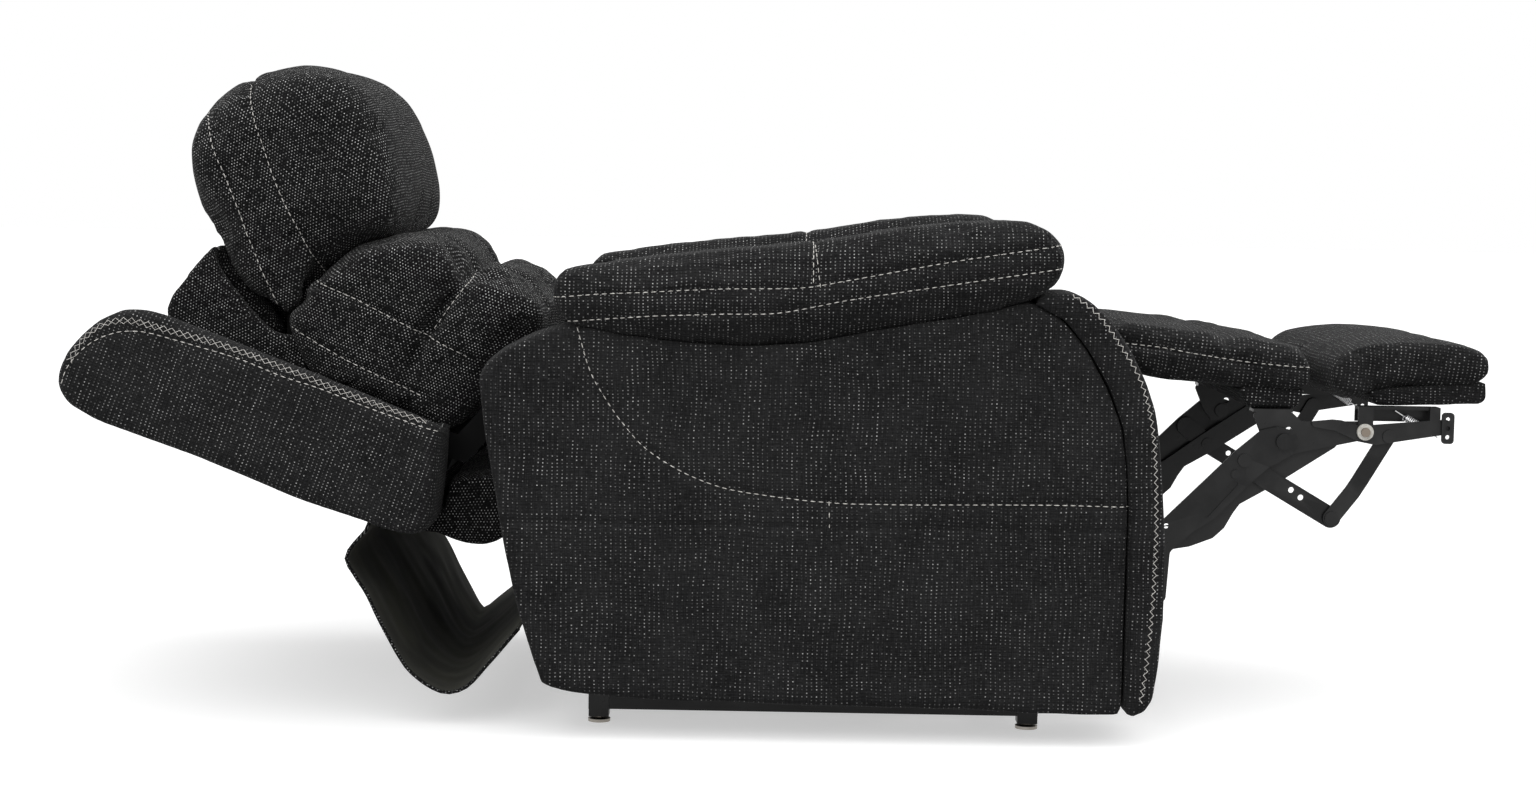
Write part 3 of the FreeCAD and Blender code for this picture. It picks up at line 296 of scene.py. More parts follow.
# A pale bush with a dark steel pin head in its middle.
def makeBush(name, centre, head):
    made, tree, shader = newMaterial(name, roughness=0.4)
    place = objectPlace(tree)
    parts = addNode(tree, "ShaderNodeSeparateXYZ")
    tree.links.new(place, parts.inputs[0])
    off = [maths(tree, "SUBTRACT", parts.outputs[k], at) for k, at in zip((0, 2), centre)]
    away = maths(tree, "SQRT", maths(tree, "ADD", *[maths(tree, "MULTIPLY", d, d) for d in off]))
    inHead = ramp(tree, away, head, head + 0.0004, 1.0, 0.0)
    grain = noiseOf(tree, place, scale=260.0)
    ring = mixColour(tree, ramp(tree, grain, 0.3, 0.7), (0.52, 0.50, 0.45), (0.70, 0.69, 0.65))
    paint(tree, shader, inHead, ring, (0.20, 0.17, 0.14))
    tree.links.new(inHead, shader.inputs["Metallic"])
    bump(tree, shader, grain, strength=0.1, distance=0.0002)
    return made


cloth = makeCloth("charcoal_weave", weave)
closeCloth = makeCloth("charcoal_weave_close", closeWeave)
padCloth = makeCloth("charcoal_weave_pads", padWeave)
thread = makeThread()
# Near-black for hidden parts: black cloth and black steel, painted darker still as painted shade for the
# inside of the chair.
blackAndShade = ((0.0022, 0.0022, 0.0023), (0.0060, 0.0060, 0.0060))
lining = makeLining("lining_cloth", (0.019, 0.019, 0.0140), (0.044, 0.044, 0.031), gloss=0.2)
shadedBlackCloth = makeLining("black_cloth_and_painted_shade", *blackAndShade, gloss=0.06)
shadedBlackSteel = makeSteel("black_steel_and_painted_shade", *blackAndShade, roughness=0.70, metallic=0.0, grain=520.0, gloss=0.08)
bushNylon = makeBush("bush_nylon", centre=(0.785, 0.403), head=0.0061)
finishes = {
    "black_steel": makeSteel("black_steel", (0.0040, 0.0041, 0.0043), (0.0230, 0.0230, 0.0230),
                             roughness=0.34, metallic=0.0, grain=520.0, gloss=0.22),
    "bright_steel": makeSteel("bright_steel", (0.42, 0.42, 0.43), (0.66, 0.66, 0.66),
                              roughness=0.32, metallic=1.0, grain=260.0),
    "glide_metal": makeSteel("glide_metal", (0.26, 0.235, 0.20), (0.52, 0.49, 0.45),
                             roughness=0.30, metallic=1.0, grain=260.0),
    "drive_housing": makePlastic("drive_housing", (0.016, 0.016, 0.018), roughness=0.55),
    "white_nylon": makePlastic("white_nylon", (0.78, 0.78, 0.75), roughness=0.35),
    "plywood": makeWood(), "webbing": makeWebbing(), "upholstery": cloth, "lining_cloth": lining,
}
slotOf = {s["node"]: s["material_slot"] for s in frame["record"]["subparts"]}
for name, obj in cadNodes.items():
    obj.data.materials.clear()
    obj.data.materials.append(finishes[slotOf[name]])
cadNodes["extension_bushes"].data.materials[0] = bushNylon
for name in ("back_frame", "headrest_board", "seat_deck"):  # these boards are wrapped in black cloth, painted darker still as painted shade
    cadNodes[name].data.materials[0] = shadedBlackCloth
for name in ("back_pivot_tube", "upper_frame"):  # black steel inside the covers, painted darker still as painted shade
    cadNodes[name].data.materials[0] = shadedBlackSteel
print("finishes made:", len(finishes))


# Meshes and their points.
def readAll(items, key, width=1, kind=np.float32):
    flat = np.empty(len(items) * width, kind)
    items.foreach_get(key, flat)
    return flat.reshape(-1, width) if width > 1 else flat


def coordinates(mesh):
    return readAll(mesh.vertices, "co", 3).astype(float)


def setCoordinates(mesh, points):
    mesh.vertices.foreach_set("co", points.astype(np.float32).ravel())
    mesh.update()


def normals(mesh):
    return readAll(mesh.vertex_normals, "vector", 3).astype(float)


# A share from 0 to 1 that starts and ends slowly.
def eased(share):
    return share * share * (3 - 2 * share)


def newObject(name, mesh):
    obj = bpy.data.objects.new(name, mesh)
    bpy.context.scene.collection.objects.link(obj)
    return obj


# Gives an object the mesh that its modifiers make, and takes them off.
def applied(obj):
    bpy.context.view_layer.update()
    graph = bpy.context.evaluated_depsgraph_get()
    mesh = bpy.data.meshes.new_from_object(obj.evaluated_get(graph))
    obj.modifiers.clear()
    old = obj.data
    obj.data = mesh
    bpy.data.meshes.remove(old)


def faceOutwards(mesh):
    work = bmesh.new()
    work.from_mesh(mesh)
    bmesh.ops.recalc_face_normals(work, faces=work.faces)
    work.to_mesh(mesh)
    work.free()


# A smooth closed copy of one or more CAD solids, with even quads.
def roundedCopy(name, sources, voxel, smoothing, shrink=0.0):
    sources = [sources] if isinstance(sources, str) else sources
    mesh = cadNodes[sources[0]].data.copy()
    mesh.materials.clear()
    work = bmesh.new()
    work.from_mesh(mesh)
    for source in sources[1:]:
        work.from_mesh(cadNodes[source].data)
    bmesh.ops.remove_doubles(work, verts=work.verts, dist=1e-6)
    work.to_mesh(mesh)
    work.free()
    for layer in list(mesh.attributes):
        if layer.name.startswith("custom") or layer.name == "sharp_face":
            mesh.attributes.remove(layer)
    obj = newObject(name, mesh)
    remesh = obj.modifiers.new("remesh", "REMESH")
    remesh.mode = "VOXEL"
    remesh.voxel_size = voxel
    remesh.adaptivity = 0.0
    smooth = obj.modifiers.new("smooth", "SMOOTH")
    smooth.factor = 0.5
    smooth.iterations = smoothing
    applied(obj)
    if shrink:
        setCoordinates(obj.data, coordinates(obj.data) - normals(obj.data) * shrink)
    return obj


# Cloth under inner pressure; no point moves further than the cap.
def inflate(obj, cap, slack, frames=20):
    rest = coordinates(obj.data)
    scene = bpy.context.scene
    scene.frame_set(1)
    modifier = obj.modifiers.new("cloth", "CLOTH")
    settings = modifier.settings
    settings.quality = 4
    settings.mass = 0.3
    settings.tension_stiffness = 14
    settings.compression_stiffness = 10
    settings.shear_stiffness = 5
    settings.bending_stiffness = 0.4
    settings.use_pressure = True
    settings.uniform_pressure_force = 4.0
    settings.shrink_min = -slack
    settings.effector_weights.gravity = 0.0
    modifier.point_cache.frame_end = frames
    for number in range(1, frames + 1):
        scene.frame_set(number)
    graph = bpy.context.evaluated_depsgraph_get()
    moved = coordinates(obj.evaluated_get(graph).data)
    obj.modifiers.clear()
    scene.frame_set(1)
    step = moved - rest
    length = np.linalg.norm(step, axis=1)
    length[~np.isfinite(length)] = 0.0
    share = np.minimum(1.0, cap / np.maximum(length, 1e-9))
    setCoordinates(obj.data, rest + np.nan_to_num(step) * share[:, None])


# Seams are drawn in the side view, in millimetres, and run across the piece like a cut.
def lineDistance(points, line):  # how far each point is from the line, and how far along it
    flat = points[:, (0, 2)]
    best = np.full(len(points), 1e9)
    reach = np.zeros(len(points))
    walked = 0.0
    for a, b in zip(line, line[1:]):
        a, b = np.array(a) / 1000.0, np.array(b) / 1000.0
        span = b - a
        length = np.linalg.norm(span)
        t = np.clip(((flat - a) @ span) / max(length * length, 1e-12), 0, 1)
        away = np.linalg.norm(flat - (a + t[:, None] * span), axis=1)
        nearer = away < best
        reach[nearer] = walked + t[nearer] * length
        best[nearer] = away[nearer]
        walked += length
    return best, reach


# Smooth noise at each point, from -1 to 1, with a fixed seed.
def ripple(points, scale, seed):
    shift = Vector((seed * 3.1, seed * 1.7, seed * 2.3))
    return np.array([noise.noise(Vector(p) * scale + shift) for p in points])


# Presses each seam into the cloth, with puckers beside it. Its sizes are in millimetres.
def sew(obj, seams, seed):
    for seam in seams:
        points, outward = coordinates(obj.data), normals(obj.data)
        if "cross" in seam:
            away = np.abs(points[:, 1] - seam["cross"] / 1000.0)
            reach = points[:, 0]
            facing = np.clip((outward[:, 2] + 0.15) * 3.0, 0, 1)
        else:
            away, reach = lineDistance(points, seam["line"])
            facing = np.ones(len(points))
            if "face" in seam:
                sideways = np.abs(outward[:, 1]) if seam["face"] == "sides" else -outward[:, 1]
                facing = np.clip((sideways - 0.3) * 3.0, 0, 1)
        width, depth = seam["width"] / 1000.0, seam["depth"] / 1000.0
        swell, pucker = seam.get("swell", 0.0) / 1000.0, seam.get("pucker", 0.0) / 1000.0
        pull = np.exp(-(away / width) ** 2) * depth
        pull -= swell * np.exp(-((away - 3.2 * width) / (1.6 * width)) ** 2)
        if pucker:
            near = np.nonzero(away < 9 * width)[0]
            waves = np.zeros(len(points))
            run = reach[near] * 1000 / seam.get("pitch", 26.0)
            waves[near] = ripple(np.stack([run, points[near, 1] * 9, away[near] * 14], 1), 1.0, seed)
            pull += pucker * waves * np.exp(-(away / (4 * width)) ** 2)
        setCoordinates(obj.data, points - outward * (pull * facing)[:, None])


# Splits the faces beside the seams, so a narrow groove has points to lie on.
def refine(obj, seams, reach):
    work = bmesh.new()
    work.from_mesh(obj.data)
    points = np.array([v.co[:] for v in work.verts])
    close = np.zeros(len(points), bool)
    for seam in seams:
        close |= lineDistance(points, seam["line"])[0] < reach
    work.edges.ensure_lookup_table()
    chosen = [e for e in work.edges if close[e.verts[0].index] and close[e.verts[1].index]]
    bmesh.ops.subdivide_edges(work, edges=chosen, cuts=1, use_grid_fill=True)
    bmesh.ops.triangulate(work, faces=[f for f in work.faces if len(f.verts) > 4])
    work.to_mesh(obj.data)
    work.free()


# Loose unevenness of the cloth over its filling, in millimetres.
def crease(obj, amount, scale, seed, stretch=(1, 1, 1)):
    points = coordinates(obj.data)
    spread = points * np.array(stretch)
    pushed = ripple(spread, scale, seed) + 0.5 * ripple(spread, scale * 2.3, seed + 5)
    setCoordinates(obj.data, points + normals(obj.data) * (pushed * amount / 1000.0)[:, None])


# The Cloth map: each face takes the weave flat on, turned with the piece, in metres.
def layCloth(obj, lean=0.0, passes=24):
    mesh = obj.data
    layer = mesh.uv_layers.new(name="Cloth")
    corner = readAll(mesh.loops, "vertex_index", 1, np.int32)
    starts, counts = [readAll(mesh.polygons, key, 1, np.int32) for key in ("loop_start", "loop_total")]
    ends = readAll(mesh.edges, "vertices", 2, np.int32)
    # The way each face looks, evened over its neighbours, so that small creases don't turn the weave.
    facing = normals(mesh)
    for _ in range(passes):
        total = facing.copy()
        np.add.at(total, ends[:, 0], facing[ends[:, 1]])
        np.add.at(total, ends[:, 1], facing[ends[:, 0]])
        facing = total / np.maximum(np.linalg.norm(total, axis=1), 1e-9)[:, None]
    a = math.radians(lean)
    turn = np.array(((math.cos(a), 0, math.sin(a)), (0, 1, 0), (-math.sin(a), 0, math.cos(a))))
    across = np.abs(np.add.reduceat(facing[corner], starts) @ turn) * (1, 1.15, 1)
    main = np.repeat(np.argmax(across, axis=1), counts)
    where = (coordinates(mesh) @ turn)[corner]
    u = np.where(main == 0, where[:, 1] + 0.31, where[:, 0])
    v = np.where(main == 2, where[:, 1] + 0.17, where[:, 2])
    layer.data.foreach_set("uv", np.stack([u, v], 1).astype(np.float32).ravel())
    mesh.polygons.foreach_set("use_smooth", np.ones(len(mesh.polygons), bool))
    mesh.update()


# The same piece on the other side of the chair.
def mirrored(obj, name):
    mesh = obj.data.copy()
    points = coordinates(mesh)
    points[:, 1] *= -1
    setCoordinates(mesh, points)
    mesh.flip_normals()
    return newObject(name, mesh)


# Stitches, made by Geometry Nodes along lines that lie on the cloth.
def makeStitcher():
    tree = bpy.data.node_groups.new("stitcher", "GeometryNodeTree")
    face = tree.interface
    face.new_socket("Geometry", in_out="INPUT", socket_type="NodeSocketGeometry")
    for name, kind, number in (("Pitch", "NodeSocketFloat", 0.010), ("Length", "NodeSocketFloat", 0.0072),
                               ("Thread", "NodeSocketFloat", 0.0008), ("Width", "NodeSocketFloat", 0.0),
                               ("Zigzag", "NodeSocketBool", False), ("Finish", "NodeSocketMaterial", None)):
        made = face.new_socket(name, in_out="INPUT", socket_type=kind)
        if number is not None:
            made.default_value = number
    face.new_socket("Geometry", in_out="OUTPUT", socket_type="NodeSocketGeometry")

    def put(kind, at, given, **settings):
        made = addNode(tree, kind, at, **settings)
        for key, value in given.items():
            if isinstance(value, bpy.types.NodeSocket):
                tree.links.new(value, made.inputs[key])
            else:
                made.inputs[key].default_value = value
        return made.outputs[0]

    source = addNode(tree, "NodeGroupInput", (-900, 0)).outputs
    curve = put("GeometryNodeMeshToCurve", (-700, 0), {"Mesh": source["Geometry"]})
    spaced = put("GeometryNodeResampleCurve", (-500, 0), {"Curve": curve, "Length": source["Pitch"]},
                 mode="LENGTH")
    outward = put("GeometryNodeInputNamedAttribute", (-700, -300), {"Name": "outward"},
                  data_type="FLOAT_VECTOR")
    tangent = put("GeometryNodeInputTangent", (-700, -450), {})
    # Straight rows: one flattened bead of thread for each stitch.
    bead = put("GeometryNodeMeshUVSphere", (-500, -600), {"Segments": 6, "Rings": 5, "Radius": 1.0})
    half = put("ShaderNodeMath", (-650, -800), {0: source["Length"], 1: 0.5}, operation="MULTIPLY")
    size = put("ShaderNodeCombineXYZ", (-500, -800), {0: half, 1: source["Thread"], 2: source["Thread"]})
    shaped = put("GeometryNodeTransform", (-300, -600), {"Geometry": bead, "Scale": size})
    turned = put("FunctionNodeAlignRotationToVector", (-300, -300), {"Vector": tangent}, axis="X")
    turned = put("FunctionNodeAlignRotationToVector", (-100, -300), {"Rotation": turned, "Vector": outward},
                 axis="Z", pivot_axis="X")
    beads = put("GeometryNodeInstanceOnPoints", (100, -100),
                {"Points": spaced, "Instance": shaped, "Rotation": turned})
    real = put("GeometryNodeRealizeInstances", (300, -100), {0: beads})
    # Zigzag rows: one thread that swings from side to side.
    order = put("GeometryNodeInputIndex", (-500, 500), {})
    odd = put("ShaderNodeMath", (-300, 500), {0: order, 1: 2.0}, operation="MODULO")
    swing = put("ShaderNodeMath", (-100, 500), {0: odd, 1: 0.5}, operation="SUBTRACT")
    amount = put("ShaderNodeMath", (50, 500), {0: swing, 1: source["Width"]}, operation="MULTIPLY")
    side = put("ShaderNodeVectorMath", (-300, 300), {0: tangent, 1: outward}, operation="CROSS_PRODUCT")
    straight = put("ShaderNodeVectorMath", (-100, 300), {0: side}, operation="NORMALIZE")
    offset = put("ShaderNodeVectorMath", (150, 300), {0: straight, "Scale": amount}, operation="SCALE")
    placed = put("GeometryNodeSetPosition", (300, 200), {"Geometry": spaced, "Offset": offset})
    ring = put("GeometryNodeCurvePrimitiveCircle", (300, 500), {"Resolution": 5, "Radius": source["Thread"]})
    tube = put("GeometryNodeCurveToMesh", (500, 200),
               {"Curve": placed, "Profile Curve": ring, "Fill Caps": True})
    either = put("GeometryNodeSwitch", (600, 0), {"Switch": source["Zigzag"], "False": real, "True": tube},
                 input_type="GEOMETRY")
    painted = put("GeometryNodeSetMaterial", (750, 0), {"Geometry": either, "Material": source["Finish"]})
    tree.links.new(painted, addNode(tree, "NodeGroupOutput", (900, 0)).inputs[0])
    return tree


stitcher = makeStitcher()


# One mesh of stitches along rows of (point, outward) pairs.
def runStitcher(name, rows, **given):
    points, edges, outs = [], [], []
    for row in rows:
        first = len(points)
        points += [tuple(p) for p, n in row]
        outs += [tuple(n) for p, n in row]
        edges += [(i, i + 1) for i in range(first, len(points) - 1)]
    mesh = bpy.data.meshes.new(name)
    mesh.from_pydata(points, edges, [])
    layer = mesh.attributes.new("outward", "FLOAT_VECTOR", "POINT")
    layer.data.foreach_set("vector", np.array(outs, np.float32).ravel())
    obj = newObject(name, mesh)
    modifier = obj.modifiers.new("stitcher", "NODES")
    modifier.node_group = stitcher
    wanted = {"Finish": thread, **given}
    for item in stitcher.interface.items_tree:
        if item.in_out == "INPUT" and item.name in wanted:
            modifier[item.identifier] = wanted[item.name]
    applied(obj)
    return obj


def surfaceOf(obj):
    mesh = obj.data
    return BVHTree.FromPolygons([v.co[:] for v in mesh.vertices], [p.vertices[:] for p in mesh.polygons])


# A side-view line at even steps, smoothed at its corners.
def resampled(line, step):
    pts = [np.array(p) / 1000.0 for p in line]
    curve = []
    for i in range(len(pts) - 1):
        p0, p1 = pts[max(0, i - 1)], pts[i]
        p2, p3 = pts[i + 1], pts[min(len(pts) - 1, i + 2)]
        count = max(2, int(np.linalg.norm(p2 - p1) / step))
        for k in range(count):
            t = k / count
            curve.append(0.5 * ((2 * p1) + (p2 - p0) * t + (2 * p0 - 5 * p1 + 4 * p2 - p3) * t * t
                                + (3 * p1 - p0 - 3 * p2 + p3) * t ** 3))
    curve.append(pts[-1])
    return curve


# A row of stitches just above the cloth, where rays from each place meet it well enough.
def rowFrom(tree, places, way, least, lift=0.0003):
    row = []
    for place in places:
        hit, normal, _, _ = tree.ray_cast(Vector(place), Vector(way))
        if hit is not None and abs(normal.dot(Vector(way))) > least:
            row.append((hit + normal * lift, normal))
    return row


# A row on the face that looks to one side: -1 is the sitter's right.
def rowOnSide(tree, line, side):
    places = [(x, side * 0.7, z) for x, z in resampled(line, step=0.003)]
    return rowFrom(tree, places, way=(0, -side, 0), least=0.15)


def finishPiece(obj, nodes, body, finish=closeCloth):
    obj.data.materials.clear()
    obj.data.materials.append(finish)
    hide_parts(*([nodes] if isinstance(nodes, str) else nodes))
    if body:
        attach(obj, body)


stitchRows = {}


def stitch(body, kind, rows):
    stitchRows.setdefault((body, kind), []).extend([r for r in rows if len(r) > 3])


# Arms: padded side, front band and stuffed pad, made for one side and mirrored.
arm = {
    "panelSeams": [
        {"line": [(-263, 531), (-247, 480), (-230, 449), (-207, 416), (-175, 381), (-129, 352), (-78, 332),
                  (-26, 323), (64, 314), (154, 313), (283, 315), (360, 316), (452, 315)],
         "depth": 2.6, "width": 4.0, "swell": 0.8, "pucker": 1.0, "pitch": 30.0, "face": "outer"},
        {"line": [(-360, 283), (65, 282), (452, 284)],
         "depth": 2.4, "width": 3.2, "swell": 0.5, "face": "outer"},
        {"line": [(63, 313), (64, 283)], "depth": 1.6, "width": 3.0, "face": "outer"},
    ],
    "bandZigzag": [(345, 596), (372, 584), (405, 558), (436, 516), (458, 479), (472, 435), (479, 390),
                   (483, 325), (484, 247), (481, 169), (476, 104), (470, 61)],
    "padSeams": [
        {"line": [(-300, 572), (-234, 578), (-183, 581), (-82, 587), (20, 590), (84, 601), (210, 626),
                  (331, 646), (352, 649)],
         "depth": 3.4, "width": 4.5, "swell": 1.6, "pucker": 1.8, "pitch": 22.0, "face": "outer"},
        {"line": [(-290, 543), (-266, 543), (-170, 551), (-81, 555), (-5, 558), (84, 576), (211, 597),
                  (352, 620)],
         "depth": 2.4, "width": 4.0, "swell": 1.0, "pucker": 1.2, "pitch": 22.0, "face": "outer"},
        {"line": [(35, 700), (38, 655), (46, 593)], "depth": 2.4, "width": 5.0, "swell": 1.0, "pucker": 1.4},
    ],
    "padRow": {"x": 0.037, "from": -0.428, "wide": 0.160, "steps": 60},  # over the pad's top
}
panel = roundedCopy("right_side_padding", "right_side_panel", voxel=0.009, smoothing=3)
refine(panel, arm["panelSeams"], reach=0.020)
crease(panel, amount=1.6, scale=8.0, seed=2.0, stretch=(1.4, 1.0, 0.7))
sew(panel, arm["panelSeams"], seed=3.0)
band = roundedCopy("right_front_band", "right_arm_front", voxel=0.007, smoothing=3)
crease(band, amount=0.9, scale=14.0, seed=4.0)
pad = roundedCopy("right_arm_pad_stuffed", "right_arm_pad", voxel=0.0065, smoothing=5, shrink=0.003)
refine(pad, arm["padSeams"], reach=0.016)
sew(pad, arm["padSeams"], seed=5.0)
inflate(pad, cap=0.007, slack=0.03)
crease(pad, amount=1.5, scale=18.0, seed=6.0, stretch=(1.7, 0.45, 0.7))
panelTree, bandTree, padTree = surfaceOf(panel), surfaceOf(band), surfaceOf(pad)
for name, obj, source, fill, finish in (("side_padding", panel, "side_panel", 0.9, cloth),
                                        ("front_band", band, "arm_front", 0.9, cloth),
                                        ("arm_pad_stuffed", pad, "arm_pad", 0.7, padCloth)):
    layCloth(obj)
    other = mirrored(obj, "left_" + name)
    finishPiece(obj, "right_" + source, "chair_body", finish)
    finishPiece(other, "left_" + source, "chair_body", finish)


def bothSides(body, kind, row):
    flip = Matrix.Diagonal((1, -1, 1))
    stitch(body, kind, [row, [(flip @ p, flip @ n) for p, n in row]])


outerRow, _, shortRow = [seam["line"] for seam in arm["panelSeams"]]
upperRow, lowerRow, crossRow = [seam["line"] for seam in arm["padSeams"]]
for tree, line in ((panelTree, outerRow), (panelTree, shortRow), (padTree, upperRow), (padTree, lowerRow),
                   (padTree, crossRow[1:])):
    bothSides("chair_body", "straight", rowOnSide(tree, line, -1))
over = arm["padRow"]
places = [(over["x"], over["from"] + over["wide"] * i / over["steps"], 1.0) for i in range(over["steps"] + 1)]
bothSides("chair_body", "straight", rowFrom(padTree, places, way=(0, 0, -1), least=0.1))
bothSides("chair_body", "zigzag", rowOnSide(bandTree, arm["bandZigzag"], -1))
print("arms done")

# Seat.
seat = {
    "seams": [{"cross": y, "depth": 5.0, "width": 7.0, "swell": 1.5, "pucker": 1.5} for y in (-150.0, 150.0)],
}
cushion = roundedCopy("seat_cushion_stuffed", "seat_cushion", voxel=0.009, smoothing=6, shrink=0.003)
sew(cushion, seat["seams"], seed=8.0)
crease(cushion, amount=1.8, scale=9.0, seed=9.0)
layCloth(cushion)
finishPiece(cushion, "seat_cushion", "chair_body")
print("seat done")

# Back: shell, wings, cover at the foot, and the two cushions.
back = {
    "lean": 20.6,
    "fall": {"depth": 0.021, "from": 0.388, "over": 0.120},  # how a wing's top falls towards the middle
    "corner": {"from": 0.200, "over": 0.022, "behind": -0.590, "along": 0.040, "back": 0.013,
               "below": 0.560, "down": 0.030, "lowBack": 0.020},  # how the cushions' outer corners reach back
    "wingStraight": [(-928, 452), (-922, 468), (-908, 487), (-889, 503), (-868, 513), (-848, 518),
                     (-824, 518), (-800, 513), (-748, 499), (-696, 484), (-645, 464), (-593, 448),
                     (-541, 428), (-489, 410), (-447, 396)],
    "wingZigzag": [(-918, 478), (-903, 503), (-886, 519), (-867, 529), (-848, 532), (-831, 531), (-807, 525),
                   (-776, 517), (-734, 506), (-693, 493), (-652, 478), (-610, 462), (-569, 446), (-524, 430),
                   (-479, 414), (-458, 407)],
    "jointSeam": [(-417, 606), (-421, 588), (-441, 559), (-467, 522)],
    "upperRow": [(-640, 588), (-628, 582), (-568, 557), (-501, 523), (-424, 485)],
    "lowerRow": [(-675, 527), (-658, 519), (-581, 476), (-486, 432)],
}
cushionSeams = [
    {"line": back["jointSeam"], "depth": 9.0, "width": 9.0, "swell": 2.5, "pucker": 2.5},
    {"line": back["upperRow"], "depth": 3.6, "width": 5.0, "swell": 1.6, "pucker": 2.0, "face": "sides"},
    {"line": back["lowerRow"], "depth": 2.6, "width": 4.5, "swell": 1.2, "pucker": 1.6, "face": "sides"},
    *[{"cross": y, "depth": 14.0, "width": 15.0, "swell": 3.0, "pucker": 2.5} for y in (-128.0, 128.0)],
]
wing = roundedCopy("right_wing_padding", "right_wing", voxel=0.007, smoothing=8)
wingSeams = [{"line": back["wingStraight"], "depth": 2.0, "width": 4.0, "swell": 0.7, "face": "outer"}]
# Its top falls away from the outer edge towards the cushions.
fall = back["fall"]
points, up = coordinates(wing.data), normals(wing.data)[:, 2]
share = np.clip((fall["from"] - np.abs(points[:, 1])) / fall["over"], 0, 1) * np.clip((up - 0.15) * 2.2, 0, 1)
points[:, 2] -= fall["depth"] * share
setCoordinates(wing.data, points)
refine(wing, wingSeams, reach=0.016)
sew(wing, wingSeams, seed=11.0)
crease(wing, amount=1.3, scale=10.0, seed=12.0)
wingTree = surfaceOf(wing)
layCloth(wing, back["lean"])
otherWing = mirrored(wing, "left_wing_padding")
finishPiece(wing, "right_wing", "back", finish=padCloth)
finishPiece(otherWing, "left_wing", "back", finish=padCloth)
bothSides("back", "straight", rowOnSide(wingTree, back["wingStraight"], -1))
bothSides("back", "cross_stitch", rowOnSide(wingTree, back["wingZigzag"], -1))

shell = roundedCopy("back_shell_cloth", "back_shell", voxel=0.009, smoothing=4)
crease(shell, amount=1.5, scale=8.0, seed=13.0)
layCloth(shell, back["lean"])
finishPiece(shell, "back_shell", "back")
cover = roundedCopy("lower_back_cloth", "lower_back_cover", voxel=0.007, smoothing=4)
crease(cover, amount=2.0, scale=14.0, seed=14.0)
layCloth(cover)
finishPiece(cover, "lower_back_cover", "back")

# The middle and the lumbar cushion are one stuffed cover with a seam between them.
stuffed = roundedCopy("back_cushions_stuffed", ["middle_back_cushion", "lumbar_cushion"],
                      voxel=0.0075, smoothing=8, shrink=0.001)
# Its outer corners reach back over the ears of the tray, to the foot of the pillow.
corner = back["corner"]
points = coordinates(stuffed.data)
share = np.clip((np.abs(points[:, 1]) - corner["from"]) / corner["over"], 0, 1)
share *= np.clip((corner["behind"] - points[:, 0]) / corner["along"], 0, 1)
low = np.clip((corner["below"] - points[:, 2]) / corner["down"], 0, 1)
points[:, 0] -= (corner["back"] + corner["lowBack"] * eased(low)) * eased(share)
setCoordinates(stuffed.data, points)
refine(stuffed, cushionSeams[:3], reach=0.016)
sew(stuffed, cushionSeams, seed=15.0)
inflate(stuffed, cap=0.009, slack=0.04)
crease(stuffed, amount=2.0, scale=15.0, seed=16.0)
stuffedTree = surfaceOf(stuffed)
layCloth(stuffed, back["lean"])
finishPiece(stuffed, ["middle_back_cushion", "lumbar_cushion"], "back")
for side in (-1, 1):
    for line in (back["jointSeam"], back["upperRow"], back["lowerRow"]):
        stitch("back", "straight", [rowOnSide(stuffedTree, line, side)])
print("back done")

# Headrest pillow: two seams run over it from side to side.
head = {
    "lean": -24.0, "gussetLean": 35.0,
    "seams": [
        {"line": [(-735, 870), (-725, 837), (-701, 768), (-677, 702), (-655, 657), (-639, 622), (-622, 585)],
         "depth": 5.0, "width": 5.5, "swell": 2.0, "pucker": 4.2, "pitch": 15.0},
        {"line": [(-800, 815), (-780, 799), (-765, 757), (-747, 715), (-730, 674), (-716, 634), (-699, 594),
                  (-679, 546)],
         "depth": 4.0, "width": 5.0, "swell": 1.4, "pucker": 4.2, "pitch": 14.0},
    ],
    "tucks": [{"cross": y, "depth": depth, "width": width, "swell": 1.2, "pucker": 4.0}
              for y, depth, width in ((-186, 5, 8), (-127, 8, 13), (-52, 4, 9), (-17, 6, 10), (71, 8, 14),
                                      (139, 4, 8))],
}
pillow = roundedCopy("head_pillow_stuffed", ["head_pillow", "headrest_board"],
                     voxel=0.0075, smoothing=24, shrink=0.001)
refine(pillow, head["seams"], reach=0.018)
sew(pillow, head["seams"], seed=21.0)
inflate(pillow, cap=0.011, slack=0.03)
crease(pillow, amount=1.6, scale=15.0, seed=22.0)
pillowTree = surfaceOf(pillow)
layCloth(pillow, head["lean"])
finishPiece(pillow, ["head_pillow", "headrest_board"], "headrest")
for seam in head["seams"]:
    for side in (-1, 1):
        stitch("headrest", "straight", [rowOnSide(pillowTree, seam["line"], side)])

gusset = roundedCopy("headrest_gusset_cloth", "headrest_gusset", voxel=0.006, smoothing=9)
sew(gusset, head["tucks"], seed=24.0)
crease(gusset, amount=4.0, scale=17.0, seed=23.0, stretch=(1.0, 0.6, 1.0))
crease(gusset, amount=1.6, scale=46.0, seed=26.0, stretch=(1.0, 0.4, 1.0))
layCloth(gusset, head["gussetLean"])
finishPiece(gusset, "headrest_gusset", body=None)
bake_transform(gusset, "back", "headrest", (-0.76, 0, 0.49), (-0.80, 0, 0.62))
print("headrest done")

